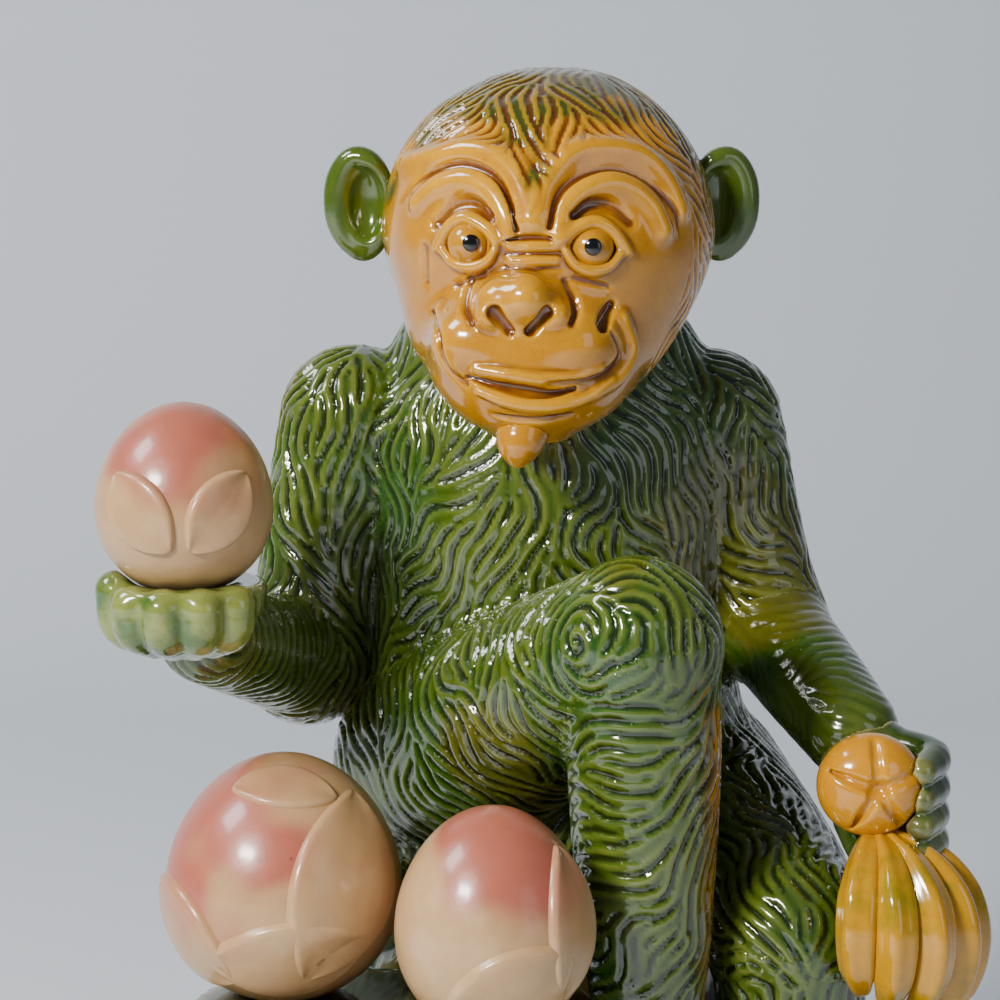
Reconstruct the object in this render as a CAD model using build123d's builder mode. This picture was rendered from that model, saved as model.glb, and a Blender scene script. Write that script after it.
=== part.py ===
"""Seated monkey figurine of glazed ceramic, made of hollow and solid clay pieces luted together.

Millimetres, +Z up. The origin is the middle of the oval underside, the monkey faces -Y, and the
monkey's own right side is at -X.
"""

from build123d import *
import os
from math import cos, pi, radians, sin, sqrt

os.makedirs("parts", exist_ok=True)

# Clay
clay_wall = 6.0  # thickness of the hollow pieces
seam = 0.2  # slip line between two pieces that were joined in the clay
vent_radius = 1.8  # pinhole that lets the kiln air out under the base
link_radius = 1.8  # air holes from one hollow to the next
least_oval = 4.0  # a hollow ends where it would get narrower than this

# Plinth and rock
plinth_width = 240.0
plinth_depth = 220.0
plinth_height = 16.0
plinth_edge = 4.0
seat_height = 124.0
seat_half_width = 52.0
seat_half_depth = 47.0
rock_foot_half_width = 88.0
rock_foot_half_depth = 66.0
rock_sides = 11
rock_roughness = 0.05
rock_flare = 4.0  # how much wider a ledge's rock is at its foot
peach_ledge_height = 112.0
peach_ledge_half_width = 47.0
peach_ledge_half_depth = 31.0
foot_ledge_half_width = 18.0
foot_ledge_half_depth = 32.0

# Torso
body_across = 2.0
body_set_back = 24.0  # the body's middle stands this far behind the plinth's middle
torso_half_width = 45.0
torso_half_depth = 39.0
haunch_half_width = 54.0
neck_rise = 138.0  # from the seat

# Head
head_half_width = 39.5
head_half_depth = 41.0
head_height = 84.0
chin_rise = 114.5  # from the seat
head_forward = 22.0  # of the body's middle
face_turn = 4.0  # how far the face looks to the monkey's right
muzzle_half_width = 24.5
muzzle_reach = 21.5
mouth_rise = 12.0  # from the chin
nose_rise = 30.0  # from the chin
nose_radius = 8.5
nostril_radius = 1.6
eye_rise = 43.5  # from the chin
eye_half_spacing = 13.8
eye_sink = 2.6  # how far the middle of an eye lies behind the skin
eyeball_radius = 5.2
pupil_radius = 2.0
pupil_height = 0.7  # proud of the eyeball
brow_radius = 14.5
brow_thickness = 3.0
brow_start = 8.0  # degrees above level, at both ends of an arch
brow_sink = 1.2
mouth_width = 33.0
mouth_opening = 3.2
mouth_depth = 6.0
ear_half_height = 14.0
ear_half_width = 8.5
ear_thickness = 7.0
ear_rim = 3.2
ear_hollow = 3.5
tuft_length = 12.0
tuft_radius = 5.0

# Arms
shoulder_rise = 112.0  # from the seat
right_shoulder_out = 45.5
left_shoulder_out = 42.0
shoulder_radius = 18.8
elbow_radius = 14.5
wrist_radius = 11.5
right_upper_arm_drop = 60.0
left_upper_arm_drop = 49.0
right_forearm_reach = 47.0
left_forearm_reach = 41.0
palm_radius = 18.5
palm_depth = 16.0
fist_radius = 11.5
finger_radius = 4.2
finger_spread = 34.0  # degrees from one cupped finger to the next
grip_spacing = 6.4  # from one closed finger to the next
finger_count = 4

# Legs
right_hip_radius = 27.0
left_hip_radius = 25.0
knee_radius = 18.5
ankle_radius = 11.5
right_shin_length = 97.0
left_shin_length = 80.0
ankle_rise = 13.0  # above the sole
foot_length = 36.0  # from the ankle to the ball of the foot
foot_radius = 10.5
toe_length = 12.0
toe_radius = 3.8
toe_spacing = 4.9
toe_count = 5

# Tail
tail_root_radius = 7.0
tail_tip_radius = 4.0

# Peaches
held_peach_width = 40.0
held_peach_height = 43.5
held_peach_sink = 1.5  # how deep the hand lets it in
outer_peach_width = 54.0
outer_peach_height = 57.0
inner_peach_width = 43.5
inner_peach_height = 51.0
peach_settle = 1.5  # how deep a peach is bedded in its ledge
leaf_thickness = 1.6

# Bananas
banana_count = 5
banana_radius = 4.8
banana_neck_radius = 2.8
banana_bend_radius = 25.0
banana_bend_step = 1.5  # each next banana curves this much tighter
banana_bend = 125.0  # degrees
banana_fan = 27.0  # degrees from one banana to the next
crown_radius = 10.0
crown_lobe_radius = 5.0
crown_lobes = 5


def moved(point, across=0.0, back=0.0, up=0.0):
    """Return the place that lies this far from a point."""
    return Vector(point.X + across, point.Y + back, point.Z + up)


def between(start, end, share):
    """Return the place that lies part of the way from one point to another."""
    return start + (end - start) * share


# Places of the joints, each one worked out from the piece that carries it
body = Vector(body_across, body_set_back, seat_height)
neck = moved(body, 0, 0, neck_rise)
right_shoulder = moved(body, -body_across - right_shoulder_out, 0, shoulder_rise)
right_elbow = moved(right_shoulder, -12, -6, -right_upper_arm_drop)
right_wrist = moved(right_elbow, -20, -right_forearm_reach, 16)
right_palm = moved(right_wrist, -3, -17, 14)
held_peach = moved(right_palm, 0, 0, held_peach_height / 2 - held_peach_sink)
left_shoulder = moved(body, left_shoulder_out - body_across, 0, shoulder_rise - 1)
left_elbow = moved(left_shoulder, 14.5, -2, -left_upper_arm_drop)
left_wrist = moved(left_elbow, 17, -left_forearm_reach, -19)
left_fist = moved(left_wrist, 4, -10, -11)
crown = moved(left_fist, -1, -13, 1)
right_hip = moved(body, -26, -10, 28)
right_knee = moved(right_hip, 45.5, -65, 43)
right_ankle = moved(right_knee, 3, 2, -right_shin_length)
left_hip = moved(body, 37, 5, 16)
left_knee = moved(left_hip, 19, -65, -16)
left_ankle = moved(left_knee, 2, 0, -left_shin_length)
foot_ledge_height = right_ankle.Z - ankle_rise
low_ledge_height = left_ankle.Z - ankle_rise
outer_peach = moved(body, -61, -70, peach_ledge_height - seat_height + outer_peach_height / 2 - peach_settle)
inner_peach = moved(body, -13, -95, peach_ledge_height - seat_height + inner_peach_height / 2 - peach_settle)
chin = moved(body, 0, -head_forward, chin_rise)
face_x = chin.X - face_turn


def oval_points(mid_x, mid_y, half_wide, front, back):
    """Give the points of an egg-shaped outline that reaches further to the front or to the back."""
    points = []
    for step in range(12):
        angle = 2 * pi * step / 12
        reach = back if sin(angle) > 0 else front
        points.append((mid_x + half_wide * cos(angle), mid_y + reach * sin(angle)))
    return points


def stacked_form(levels, grow=0.0):
    """Loft upright through ovals, each given as height, middle x and y, half width, front and back."""
    kept = [level for level in levels if min(level[3:]) + grow > least_oval]
    last = len(kept) - 1
    with BuildPart() as form:
        for number, (height, mid_x, mid_y, half_wide, front, back) in enumerate(kept):
            lift = -grow if number == 0 else grow if number == last else 0.0
            outline = oval_points(mid_x, mid_y, half_wide + grow, front + grow, back + grow)
            with BuildSketch(Plane.XY.offset(height + lift)):
                with BuildLine():
                    Spline(*outline, periodic=True)
                make_face()
        loft()
    return form.part


def limb_form(places, radii, grow=0.0, side=(1, 0, 0)):
    """Loft a limb with round ends through circles along a bent line of places."""
    last = len(places) - 1
    sections = []
    for number, (place, radius) in enumerate(zip(places, radii)):
        way = (places[min(number + 1, last)] - places[max(number - 1, 0)]).normalized()
        full = radius + grow
        round_end = [(full * sin(radians(turn)), full * cos(radians(turn))) for turn in (38, 72)]
        if number == 0:
            sections += [(place - way * out, way, small) for out, small in reversed(round_end)]
        sections.append((place, way, full))
        if number == last:
            sections += [(place + way * out, way, small) for out, small in round_end]
    with BuildPart() as form:
        for place, way, radius in sections:
            with BuildSketch(Plane(origin=place, x_dir=side, z_dir=way)):
                Circle(radius)
        loft()
    return form.part


def ball_form(middle, half_wide, half_tall, axis=(0, 0, 1), grow=0.0):
    """Loft a lump of clay through circles along its axis."""
    upright = Plane(origin=middle, z_dir=axis)
    with BuildPart() as form:
        for turn in (-84, -64, -42, -21, 0, 21, 42, 64, 84):
            with BuildSketch(upright.offset((half_tall + grow) * sin(radians(turn)))):
                Circle((half_wide + grow) * cos(radians(turn)))
        loft()
    return form.part


def peach_form(middle, width, height, grow=0.0):
    """Loft a peach through circles, fuller below and drawn in towards its top."""
    with BuildPart() as form:
        for turn in (-84, -64, -42, -21, 0, 21, 42, 64, 84):
            rise = sin(radians(turn))
            fullness = cos(radians(turn)) * (1 - 0.09 * rise)
            with BuildSketch(Plane.XY.offset(middle.Z + (height / 2 + grow) * rise)):
                with Locations((middle.X, middle.Y)):
                    Circle((width / 2 + grow) * fullness)
        loft()
    return form.part


def rock_form(levels, grow=0.0):
    """Stack uneven many-sided outlines, each given as height, middle x and y, and half sizes."""
    with BuildPart() as form:
        for height, mid_x, mid_y, half_wide, half_deep in levels:
            points = []
            for side in range(rock_sides):
                angle = 2 * pi * side / rock_sides
                wobble = 1 + rock_roughness * sin(2.6 * side + 0.09 * height)
                across = (half_wide * wobble + grow) * cos(angle)
                deep = (half_deep * wobble + grow) * sin(angle)
                points.append((mid_x + across, mid_y + deep))
            with BuildSketch(Plane.XY.offset(height)):
                with BuildLine():
                    Polyline(*points, close=True)
                make_face()
        loft(ruled=True)
    return form.part


def leaf_form(middle, width, height, aim, length, breadth, turn, grow=0.0):
    """Cut a thin leaf out of a shell round a peach, where a line from its middle comes out."""
    length += 2 * grow
    breadth += 2 * grow
    outer = peach_form(middle, width, height, leaf_thickness + grow)
    inner = peach_form(middle, width, height, seam - grow)
    aim = Vector(*aim).normalized()
    level = Vector(-aim.Y, aim.X, 0).normalized()
    along = level * cos(radians(turn)) + aim.cross(level) * sin(radians(turn))
    with BuildPart() as form:
        with BuildSketch(Plane(origin=middle, x_dir=along, z_dir=aim)):
            with BuildLine():
                ThreePointArc((-length / 2, 0), (0, breadth / 2), (length / 2, 0))
                ThreePointArc((length / 2, 0), (0, -breadth / 2), (-length / 2, 0))
            make_face()
        extrude(amount=height)
        add(outer, mode=Mode.INTERSECT)
        add(inner, mode=Mode.SUBTRACT)
    return form.part


# Ovals of the torso from the seat to the neck
torso_levels = [
    (body.Z + seam, body.X, body.Y + 8, haunch_half_width - 7, torso_half_depth - 1, torso_half_depth - 1),
    (body.Z + 12, body.X, body.Y + 7, haunch_half_width, torso_half_depth + 6, torso_half_depth + 5),
    (body.Z + 34, body.X, body.Y + 5, haunch_half_width - 3, torso_half_depth + 5, torso_half_depth + 4),
    (body.Z + 64, body.X, body.Y + 3, torso_half_width, torso_half_depth + 2, torso_half_depth + 1),
    (body.Z + 90, body.X, body.Y + 1, torso_half_width, torso_half_depth, torso_half_depth),
    (neck.Z - 26, body.X, body.Y + 1, torso_half_width + 1, torso_half_depth - 3, torso_half_depth - 1),
    (neck.Z - 12, body.X, body.Y + 2, torso_half_width - 4, torso_half_depth - 8, torso_half_depth - 6),
    (neck.Z, body.X, body.Y + 2, torso_half_width - 11, torso_half_depth - 13, torso_half_depth - 13),
    (neck.Z + 8, body.X, body.Y, torso_half_width - 20, torso_half_depth - 20, torso_half_depth - 20),
]

# Ovals of the skull and jaw from the chin to the top of the head
head_levels = [
    (chin.Z, face_x, chin.Y - 26, 9, 7, 7),
    (chin.Z + 0.07 * head_height, face_x + 1, chin.Y - 22, 18, 15, 18),
    (chin.Z + 0.21 * head_height, face_x + 2, chin.Y - 10, head_half_width - 10, head_half_depth - 15, 26),
    (chin.Z + 0.39 * head_height, chin.X, chin.Y - 2, head_half_width - 3, head_half_depth - 4, 38),
    (chin.Z + 0.55 * head_height, chin.X, chin.Y, head_half_width, head_half_depth - 1, 41),
    (chin.Z + 0.73 * head_height, chin.X, chin.Y + 2, head_half_width - 3, head_half_depth - 5, 38),
    (chin.Z + 0.88 * head_height, chin.X, chin.Y + 3, head_half_width - 12, head_half_depth - 14, 29),
    (chin.Z + 0.97 * head_height, chin.X + 1, chin.Y + 4, head_half_width - 24, head_half_depth - 26, 17),
    (chin.Z + head_height, chin.X + 1, chin.Y + 4, 6, 6, 6),
]


# Ovals of the muzzle from under the chin to the top of the nose, in the same order
muzzle_middle = chin.Y - 24
muzzle_levels = [
    (chin.Z - 1, face_x, muzzle_middle, 8, muzzle_reach - 11, 10),
    (chin.Z + 4, face_x, muzzle_middle, muzzle_half_width - 7.5, muzzle_reach - 4.5, 17),
    (chin.Z + 11, face_x, muzzle_middle, muzzle_half_width - 2, muzzle_reach - 1, 20),
    (chin.Z + 20, face_x, muzzle_middle, muzzle_half_width, muzzle_reach, 20),
    (chin.Z + 29, face_x, muzzle_middle, muzzle_half_width - 3, muzzle_reach - 2, 18),
    (chin.Z + 36, face_x, muzzle_middle, muzzle_half_width - 9, muzzle_reach - 7, 14),
    (chin.Z + 40, face_x, muzzle_middle, muzzle_half_width - 16, muzzle_reach - 12, 9),
]


def face_place(across, rise, sink=0.0):
    """Return the place on the front of the skull at this distance from its middle and chin."""
    height = chin.Z + rise
    for low, high in zip(head_levels, head_levels[1:]):
        if low[0] <= height <= high[0]:
            share = (height - low[0]) / (high[0] - low[0])
            mid_x, mid_y, half_wide, front = [low[i] + share * (high[i] - low[i]) for i in (1, 2, 3, 4)]
    x = face_x + across
    return Vector(x, mid_y - front * sqrt(1 - ((x - mid_x) / half_wide) ** 2) + sink, height)


# Outlines of the rock under the seat, the peaches and the two feet, from the plinth up
def ledge_levels(middle, top, half_wide, half_deep):
    """Give the outlines of a rock that rises from the plinth to a flat ledge."""
    waist = plinth_height + 0.55 * (top - plinth_height)
    return [
        (plinth_height, middle.X, middle.Y, half_wide + rock_flare, half_deep + rock_flare),
        (waist, middle.X, middle.Y, half_wide + 0.6 * rock_flare, half_deep + 0.6 * rock_flare),
        (top, middle.X, middle.Y, half_wide, half_deep),
    ]


seat_levels = [
    (plinth_height, 0, body.Y - 10, rock_foot_half_width, rock_foot_half_depth),
    (0.45 * seat_height, 0, body.Y - 4, rock_foot_half_width - 20, rock_foot_half_depth - 8),
    (0.8 * seat_height, body.X, body.Y + 4, seat_half_width + 6, seat_half_depth + 3),
    (seat_height, body.X, body.Y + 6, seat_half_width, seat_half_depth),
]
rock_masses = [
    seat_levels,
    ledge_levels(
        between(outer_peach, inner_peach, 0.45),
        peach_ledge_height,
        peach_ledge_half_width,
        peach_ledge_half_depth,
    ),
    ledge_levels(
        moved(right_ankle, 1, -foot_length / 2),
        foot_ledge_height,
        foot_ledge_half_width,
        foot_ledge_half_depth,
    ),
    ledge_levels(
        moved(left_ankle, 2, -foot_length / 2),
        low_ledge_height,
        foot_ledge_half_width + 4,
        foot_ledge_half_depth,
    ),
]


def raised(levels, lift):
    """Lift the top outline of a rock, and leave the others."""
    height, *rest = levels[-1]
    return levels[:-1] + [(height + lift, *rest)]


# Foot plinth: the oval slab that the figure stands on, with the kiln vent through it
with BuildPart() as foot_plinth:
    with BuildSketch():
        Ellipse(plinth_width / 2, plinth_depth / 2)
        Circle(vent_radius, mode=Mode.SUBTRACT)
    extrude(amount=plinth_height - seam)
    fillet(foot_plinth.edges().group_by(Axis.Z)[-1].sort_by(SortBy.LENGTH)[-1], plinth_edge)
foot_plinth.part.label = "foot_plinth"

# Rock: one hollow mound with a seat, a ledge for the peaches and a ledge for each foot
with BuildPart() as rock_grown:
    for levels in rock_masses:
        add(rock_form(raised(levels, seam), seam))
with BuildPart() as rock_mound:
    for levels in rock_masses:
        add(rock_form(levels))
    for levels in rock_masses:
        add(rock_form(raised(levels, -clay_wall), -clay_wall), mode=Mode.SUBTRACT)
    with BuildSketch(Plane.XY.offset(seat_height - 2 * clay_wall)):
        with Locations((body.X, body.Y)):
            Circle(link_radius)
    extrude(amount=3 * clay_wall, mode=Mode.SUBTRACT)
rock_mound.part.label = "rock_mound"

# Head: hollow skull with muzzle, nose, brows, eye sockets, nostrils and mouth
lips = Vector(face_x, muzzle_middle - muzzle_reach, chin.Z + mouth_rise)
nose = Vector(face_x, muzzle_middle - muzzle_reach + 0.75 * nose_radius, chin.Z + nose_rise)
skull_form = stacked_form(head_levels)
skull_hollow = stacked_form(head_levels, -clay_wall)
muzzle_form = stacked_form(muzzle_levels)
nose_form = ball_form(nose, nose_radius - 1, nose_radius, (1, 0, 0))
brow_forms = []
eyes = []
eye_sockets = []
nostril_forms = []
for way in (-1, 1):
    eye = face_place(way * eye_half_spacing, eye_rise, eye_sink)
    eyes.append(eye)
    with BuildPart(Plane(origin=eye)) as socket:
        Sphere(eyeball_radius + seam)
    eye_sockets.append(socket.part)
    arch_middle = face_place(way * eye_half_spacing, eye_rise, brow_sink)
    arch_end = Vector(cos(radians(brow_start)), 0, sin(radians(brow_start)))
    arch_way = Vector(arch_end.Z, 0, -arch_end.X)
    with BuildPart() as brow:
        with BuildSketch(Plane(origin=arch_middle + arch_end * brow_radius, x_dir=arch_end, z_dir=arch_way)):
            Circle(brow_thickness)
        revolve(axis=Axis(arch_middle, (0, -1, 0)), revolution_arc=180 - 2 * brow_start)
    brow_forms.append(brow.part)
    nostril = moved(nose, way * 0.55 * nose_radius, -0.6 * nose_radius, -0.5 * nose_radius)
    nostril_forms.append(ball_form(nostril, nostril_radius, 2 * nostril_radius, (-way * 0.5, -0.3, 0.8)))
mouth_corner = (mouth_width / 2, mouth_opening / 2)
with BuildPart() as mouth_slit:
    with BuildSketch(Plane(origin=moved(lips, 0, mouth_depth), x_dir=(1, 0, 0), z_dir=(0, -1, 0))):
        with BuildLine():
            ThreePointArc((-mouth_corner[0], mouth_corner[1]), (0, -mouth_opening / 2), mouth_corner)
            ThreePointArc(mouth_corner, (0, mouth_corner[1] + 0.6), (-mouth_corner[0], mouth_corner[1]))
        make_face()
    extrude(amount=2 * mouth_depth)
with BuildPart() as head:
    add(skull_form)
    add(muzzle_form)
    add(nose_form)
    for brow in brow_forms:
        add(brow)
    for hollow in (*eye_sockets, mouth_slit.part, *nostril_forms):
        add(hollow, mode=Mode.SUBTRACT)
    add(skull_hollow, mode=Mode.SUBTRACT)
head.part.label = "head"

# Torso: hollow, flat where it sits, with a saddle that the head rests in
head_cutter = [stacked_form(head_levels, seam), stacked_form(muzzle_levels, seam)]
torso_cutter = stacked_form(torso_levels, seam)
with BuildPart() as torso:
    add(stacked_form(torso_levels))
    add(stacked_form(torso_levels, -clay_wall), mode=Mode.SUBTRACT)
    for cutter in head_cutter:
        add(cutter, mode=Mode.SUBTRACT)
    with BuildSketch(Plane.XY.offset(seat_height - clay_wall)):
        with Locations((body.X, body.Y)):
            Circle(link_radius)
    extrude(amount=3 * clay_wall, mode=Mode.SUBTRACT)
torso.part.label = "torso"

# Eyeballs: clay pellets set in the sockets, each with a black pupil in front
eye_parts = []
for name, eye, socket in zip(("right", "left"), eyes, eye_sockets):
    with BuildPart(Plane(origin=eye)) as eyeball:
        Sphere(eyeball_radius)
    eyeball.part.label = f"{name}_eyeball"
    with BuildPart() as pupil_dot:
        pupil_front = moved(eye, 0, -eyeball_radius - pupil_height)
        with BuildSketch(Plane(origin=pupil_front, x_dir=(1, 0, 0), z_dir=(0, 1, 0))):
            Circle(pupil_radius)
        extrude(amount=eyeball_radius)
        add(socket, mode=Mode.SUBTRACT)
    pupil_dot.part.label = f"{name}_pupil"
    eye_parts += [eyeball, pupil_dot]

# Ears: thick hollowed discs that look forward and a little outward
ear_parts = []
for name, way in (("right", -1), ("left", 1)):
    root = moved(chin, way * (head_half_width + ear_half_width - 5) - 1.5, 6, eye_rise + 8)
    facing = Plane(origin=root, x_dir=(1, way * 0.35, 0), z_dir=(way * 0.35, -1, 0))
    with BuildPart() as ear:
        with BuildSketch(facing):
            Ellipse(ear_half_width, ear_half_height)
        extrude(amount=ear_thickness / 2, both=True)
        fillet(ear.edges(), 0.4 * ear_thickness)
        with BuildSketch(facing.offset(ear_thickness / 2 - ear_hollow)):
            Ellipse(ear_half_width - ear_rim, ear_half_height - ear_rim)
        extrude(amount=2 * ear_hollow, mode=Mode.SUBTRACT)
        add(head_cutter[0], mode=Mode.SUBTRACT)
    ear.part.label = f"{name}_ear"
    ear_parts.append(ear)

# Chin tuft: the short beard under the chin
tuft_top = Vector(face_x, muzzle_middle - 6, chin.Z + 1)
with BuildPart() as chin_tuft:
    add(limb_form([tuft_top, moved(tuft_top, 0, -1, -tuft_length / 2)], [tuft_radius, 0.5 * tuft_radius]))
    for cutter in head_cutter:
        add(cutter, mode=Mode.SUBTRACT)
    add(torso_cutter, mode=Mode.SUBTRACT)
chin_tuft.part.label = "chin_tuft"

# Right arm, raised to hold up a peach
right_upper_line = ([right_shoulder, moved(between(right_shoulder, right_elbow, 0.45), -2), right_elbow],
                    [shoulder_radius, elbow_radius + 1, elbow_radius])
right_fore_line = ([right_elbow, between(right_elbow, right_wrist, 0.5), right_wrist],
                   [elbow_radius - 0.8, wrist_radius + 1.5, wrist_radius])
right_upper_cutter = limb_form(*right_upper_line, seam)
right_fore_cutter = limb_form(*right_fore_line, seam)
with BuildPart() as right_upper_arm:
    add(limb_form(*right_upper_line))
    add(torso_cutter, mode=Mode.SUBTRACT)
    add(head_cutter[0], mode=Mode.SUBTRACT)
right_upper_arm.part.label = "right_upper_arm"
with BuildPart() as right_forearm:
    add(limb_form(*right_fore_line))
    add(right_upper_cutter, mode=Mode.SUBTRACT)
    add(torso_cutter, mode=Mode.SUBTRACT)
right_forearm.part.label = "right_forearm"

# Right hand: a cupped palm with fingers round its rim
cupped_fingers = []
for number in range(finger_count):
    turn = radians(188 + number * finger_spread)
    out = Vector(cos(turn), sin(turn), 0)
    line = [right_palm + out * (palm_radius - 8) + Vector(0, 0, 4 - palm_depth),
            right_palm + out * (palm_radius - 2.5) + Vector(0, 0, -7),
            right_palm + out * (palm_radius - 3) + Vector(0, 0, 0)]
    cupped_fingers.append(limb_form(line, [finger_radius] * len(line), side=(-sin(turn), cos(turn), 0)))
palm_form = ball_form(right_palm, palm_radius, palm_depth)
with BuildPart() as right_hand:
    add(palm_form)
    split(bisect_by=Plane.XY.offset(right_palm.Z + 1), keep=Keep.BOTTOM)
    for finger in cupped_fingers:
        add(finger)
    add(right_fore_cutter, mode=Mode.SUBTRACT)
    add(peach_form(held_peach, held_peach_width, held_peach_height, seam), mode=Mode.SUBTRACT)
right_hand.part.label = "right_hand"

# Left arm, lowered to hold a bunch of bananas on the knee
left_upper_line = ([left_shoulder, moved(between(left_shoulder, left_elbow, 0.45), 1), left_elbow],
                   [shoulder_radius, elbow_radius + 1, elbow_radius + 0.5])
left_fore_line = ([left_elbow, between(left_elbow, left_wrist, 0.5), left_wrist],
                  [elbow_radius - 0.3, wrist_radius + 1.5, wrist_radius])
left_upper_cutter = limb_form(*left_upper_line, seam)
left_fore_cutter = limb_form(*left_fore_line, seam)
with BuildPart() as left_upper_arm:
    add(limb_form(*left_upper_line))
    add(torso_cutter, mode=Mode.SUBTRACT)
    add(head_cutter[0], mode=Mode.SUBTRACT)
left_upper_arm.part.label = "left_upper_arm"
with BuildPart() as left_forearm:
    add(limb_form(*left_fore_line))
    add(left_upper_cutter, mode=Mode.SUBTRACT)
    add(torso_cutter, mode=Mode.SUBTRACT)
left_forearm.part.label = "left_forearm"

# Left hand: a fist behind the banana crown, with fingers and thumb round it
closed_fingers = []
for number in range(finger_count):
    rise = (number - (finger_count - 1) / 2) * grip_spacing
    knuckle = moved(left_fist, 13, -8, rise - 1)
    line = [moved(left_fist, 6, 0, rise), knuckle, moved(left_fist, 9, -18, rise - 2)]
    closed_fingers.append(limb_form(line, [finger_radius, finger_radius, finger_radius - 1], side=(0, 0, 1)))
thumb_line = [moved(left_fist, -5, -3, -8), moved(left_fist, -2, -14, -13), moved(left_fist, 4, -21, -14)]
left_hand_forms = [ball_form(left_fist, fist_radius, fist_radius + 1), *closed_fingers,
                   limb_form(thumb_line, [finger_radius, finger_radius, finger_radius - 1], side=(0, 0, 1))]
crown_forms = [ball_form(crown, crown_radius, crown_radius + 1)]
for number in range(crown_lobes):
    turn = 2 * pi * number / crown_lobes + 0.4
    with BuildPart(Plane(origin=moved(crown, 6.5 * cos(turn), -4, 6.5 * sin(turn)))) as lobe:
        Sphere(crown_lobe_radius)
    crown_forms.append(lobe.part)
with BuildPart() as banana_crown:
    for form in crown_forms:
        add(form)
banana_crown.part.label = "banana_crown"
with BuildPart() as left_hand:
    for form in left_hand_forms:
        add(form)
    add(left_fore_cutter, mode=Mode.SUBTRACT)
    add(banana_crown.part, mode=Mode.SUBTRACT)
left_hand.part.label = "left_hand"

# Legs: the right one drawn up with its foot on a ledge, the left one let down
def leg_places(start, end):
    """Return the start, two places on the way and the end of a thigh or shin."""
    return [start, between(start, end, 0.35), between(start, end, 0.7), end]


right_thigh_line = (leg_places(right_hip, right_knee),
                    [right_hip_radius, right_hip_radius - 1.5, knee_radius + 3, knee_radius])
right_shin_line = (leg_places(moved(right_knee, 1, 0, -3), right_ankle),
                   [knee_radius - 1, knee_radius - 1.5, ankle_radius + 3, ankle_radius])
left_thigh_line = (leg_places(left_hip, left_knee),
                   [left_hip_radius, left_hip_radius - 1.5, knee_radius + 3, knee_radius + 1])
left_shin_line = (leg_places(moved(left_knee, 0, 0, -3), left_ankle),
                  [knee_radius - 0.5, knee_radius - 1.5, ankle_radius + 2.5, ankle_radius])
legs = {}
for name, thigh_line, shin_line, ankle, sole in (
    ("right", right_thigh_line, right_shin_line, right_ankle, foot_ledge_height + seam),
    ("left", left_thigh_line, left_shin_line, left_ankle, low_ledge_height + seam),
):
    thigh_cutter = limb_form(*thigh_line, seam)
    shin_cutter = limb_form(*shin_line, seam)
    with BuildPart() as thigh:
        add(limb_form(*thigh_line))
        add(torso_cutter, mode=Mode.SUBTRACT)
        add(rock_grown.part, mode=Mode.SUBTRACT)
    thigh.part.label = f"{name}_thigh"
    with BuildPart() as shin:
        add(limb_form(*shin_line))
        add(thigh_cutter, mode=Mode.SUBTRACT)
        add(rock_grown.part, mode=Mode.SUBTRACT)
    shin.part.label = f"{name}_shin"
    heel = Vector(ankle.X, ankle.Y + 4, sole + foot_radius - 1.5)
    ball = Vector(ankle.X + 1, ankle.Y - foot_length, sole + foot_radius - 4)
    toes = []
    for number in range(toe_count):
        toe = moved(ball, (number - (toe_count - 1) / 2) * toe_spacing, -2, toe_radius - foot_radius + 3.5)
        toes.append(limb_form([toe, moved(toe, 0, -toe_length, -0.5)], [toe_radius, toe_radius - 0.5]))
    sole_plane = Plane.XY.offset(sole)
    instep = limb_form([heel, between(heel, ball, 0.5), ball], [foot_radius, foot_radius, foot_radius - 1])
    with BuildPart() as foot:
        add(instep)
        for toe_form in toes:
            add(toe_form)
        split(bisect_by=sole_plane, keep=Keep.TOP)
        add(shin_cutter, mode=Mode.SUBTRACT)
        add(rock_grown.part, mode=Mode.SUBTRACT)
    foot.part.label = f"{name}_foot"
    legs[name] = (thigh, shin, foot, thigh_cutter, shin_cutter)

# Tail: a short one that lies down the back of the rock
tail_places = [moved(body, 0, 38, 16), moved(body, 8, 52, 2), moved(body, 22, 60, -22), moved(body, 40, 58, -42)]
tail_line = (tail_places,
             [tail_root_radius, tail_root_radius - 0.5, tail_root_radius - 1, tail_tip_radius])
with BuildPart() as tail:
    add(limb_form(*tail_line))
    add(torso_cutter, mode=Mode.SUBTRACT)
    add(rock_grown.part, mode=Mode.SUBTRACT)
tail.part.label = "tail"

# Peaches: one in the hand and two on the ledge, all hollow
with BuildPart() as held_peach_part:
    add(peach_form(held_peach, held_peach_width, held_peach_height))
    add(peach_form(held_peach, held_peach_width, held_peach_height, -clay_wall), mode=Mode.SUBTRACT)
held_peach_part.part.label = "held_peach"
with BuildPart() as outer_peach_part:
    add(peach_form(outer_peach, outer_peach_width, outer_peach_height))
    add(peach_form(outer_peach, outer_peach_width, outer_peach_height, -clay_wall), mode=Mode.SUBTRACT)
    add(rock_grown.part, mode=Mode.SUBTRACT)
outer_peach_part.part.label = "outer_peach"
with BuildPart() as inner_peach_part:
    add(peach_form(inner_peach, inner_peach_width, inner_peach_height))
    add(peach_form(inner_peach, inner_peach_width, inner_peach_height, -clay_wall), mode=Mode.SUBTRACT)
    add(rock_grown.part, mode=Mode.SUBTRACT)
inner_peach_part.part.label = "inner_peach"

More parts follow.
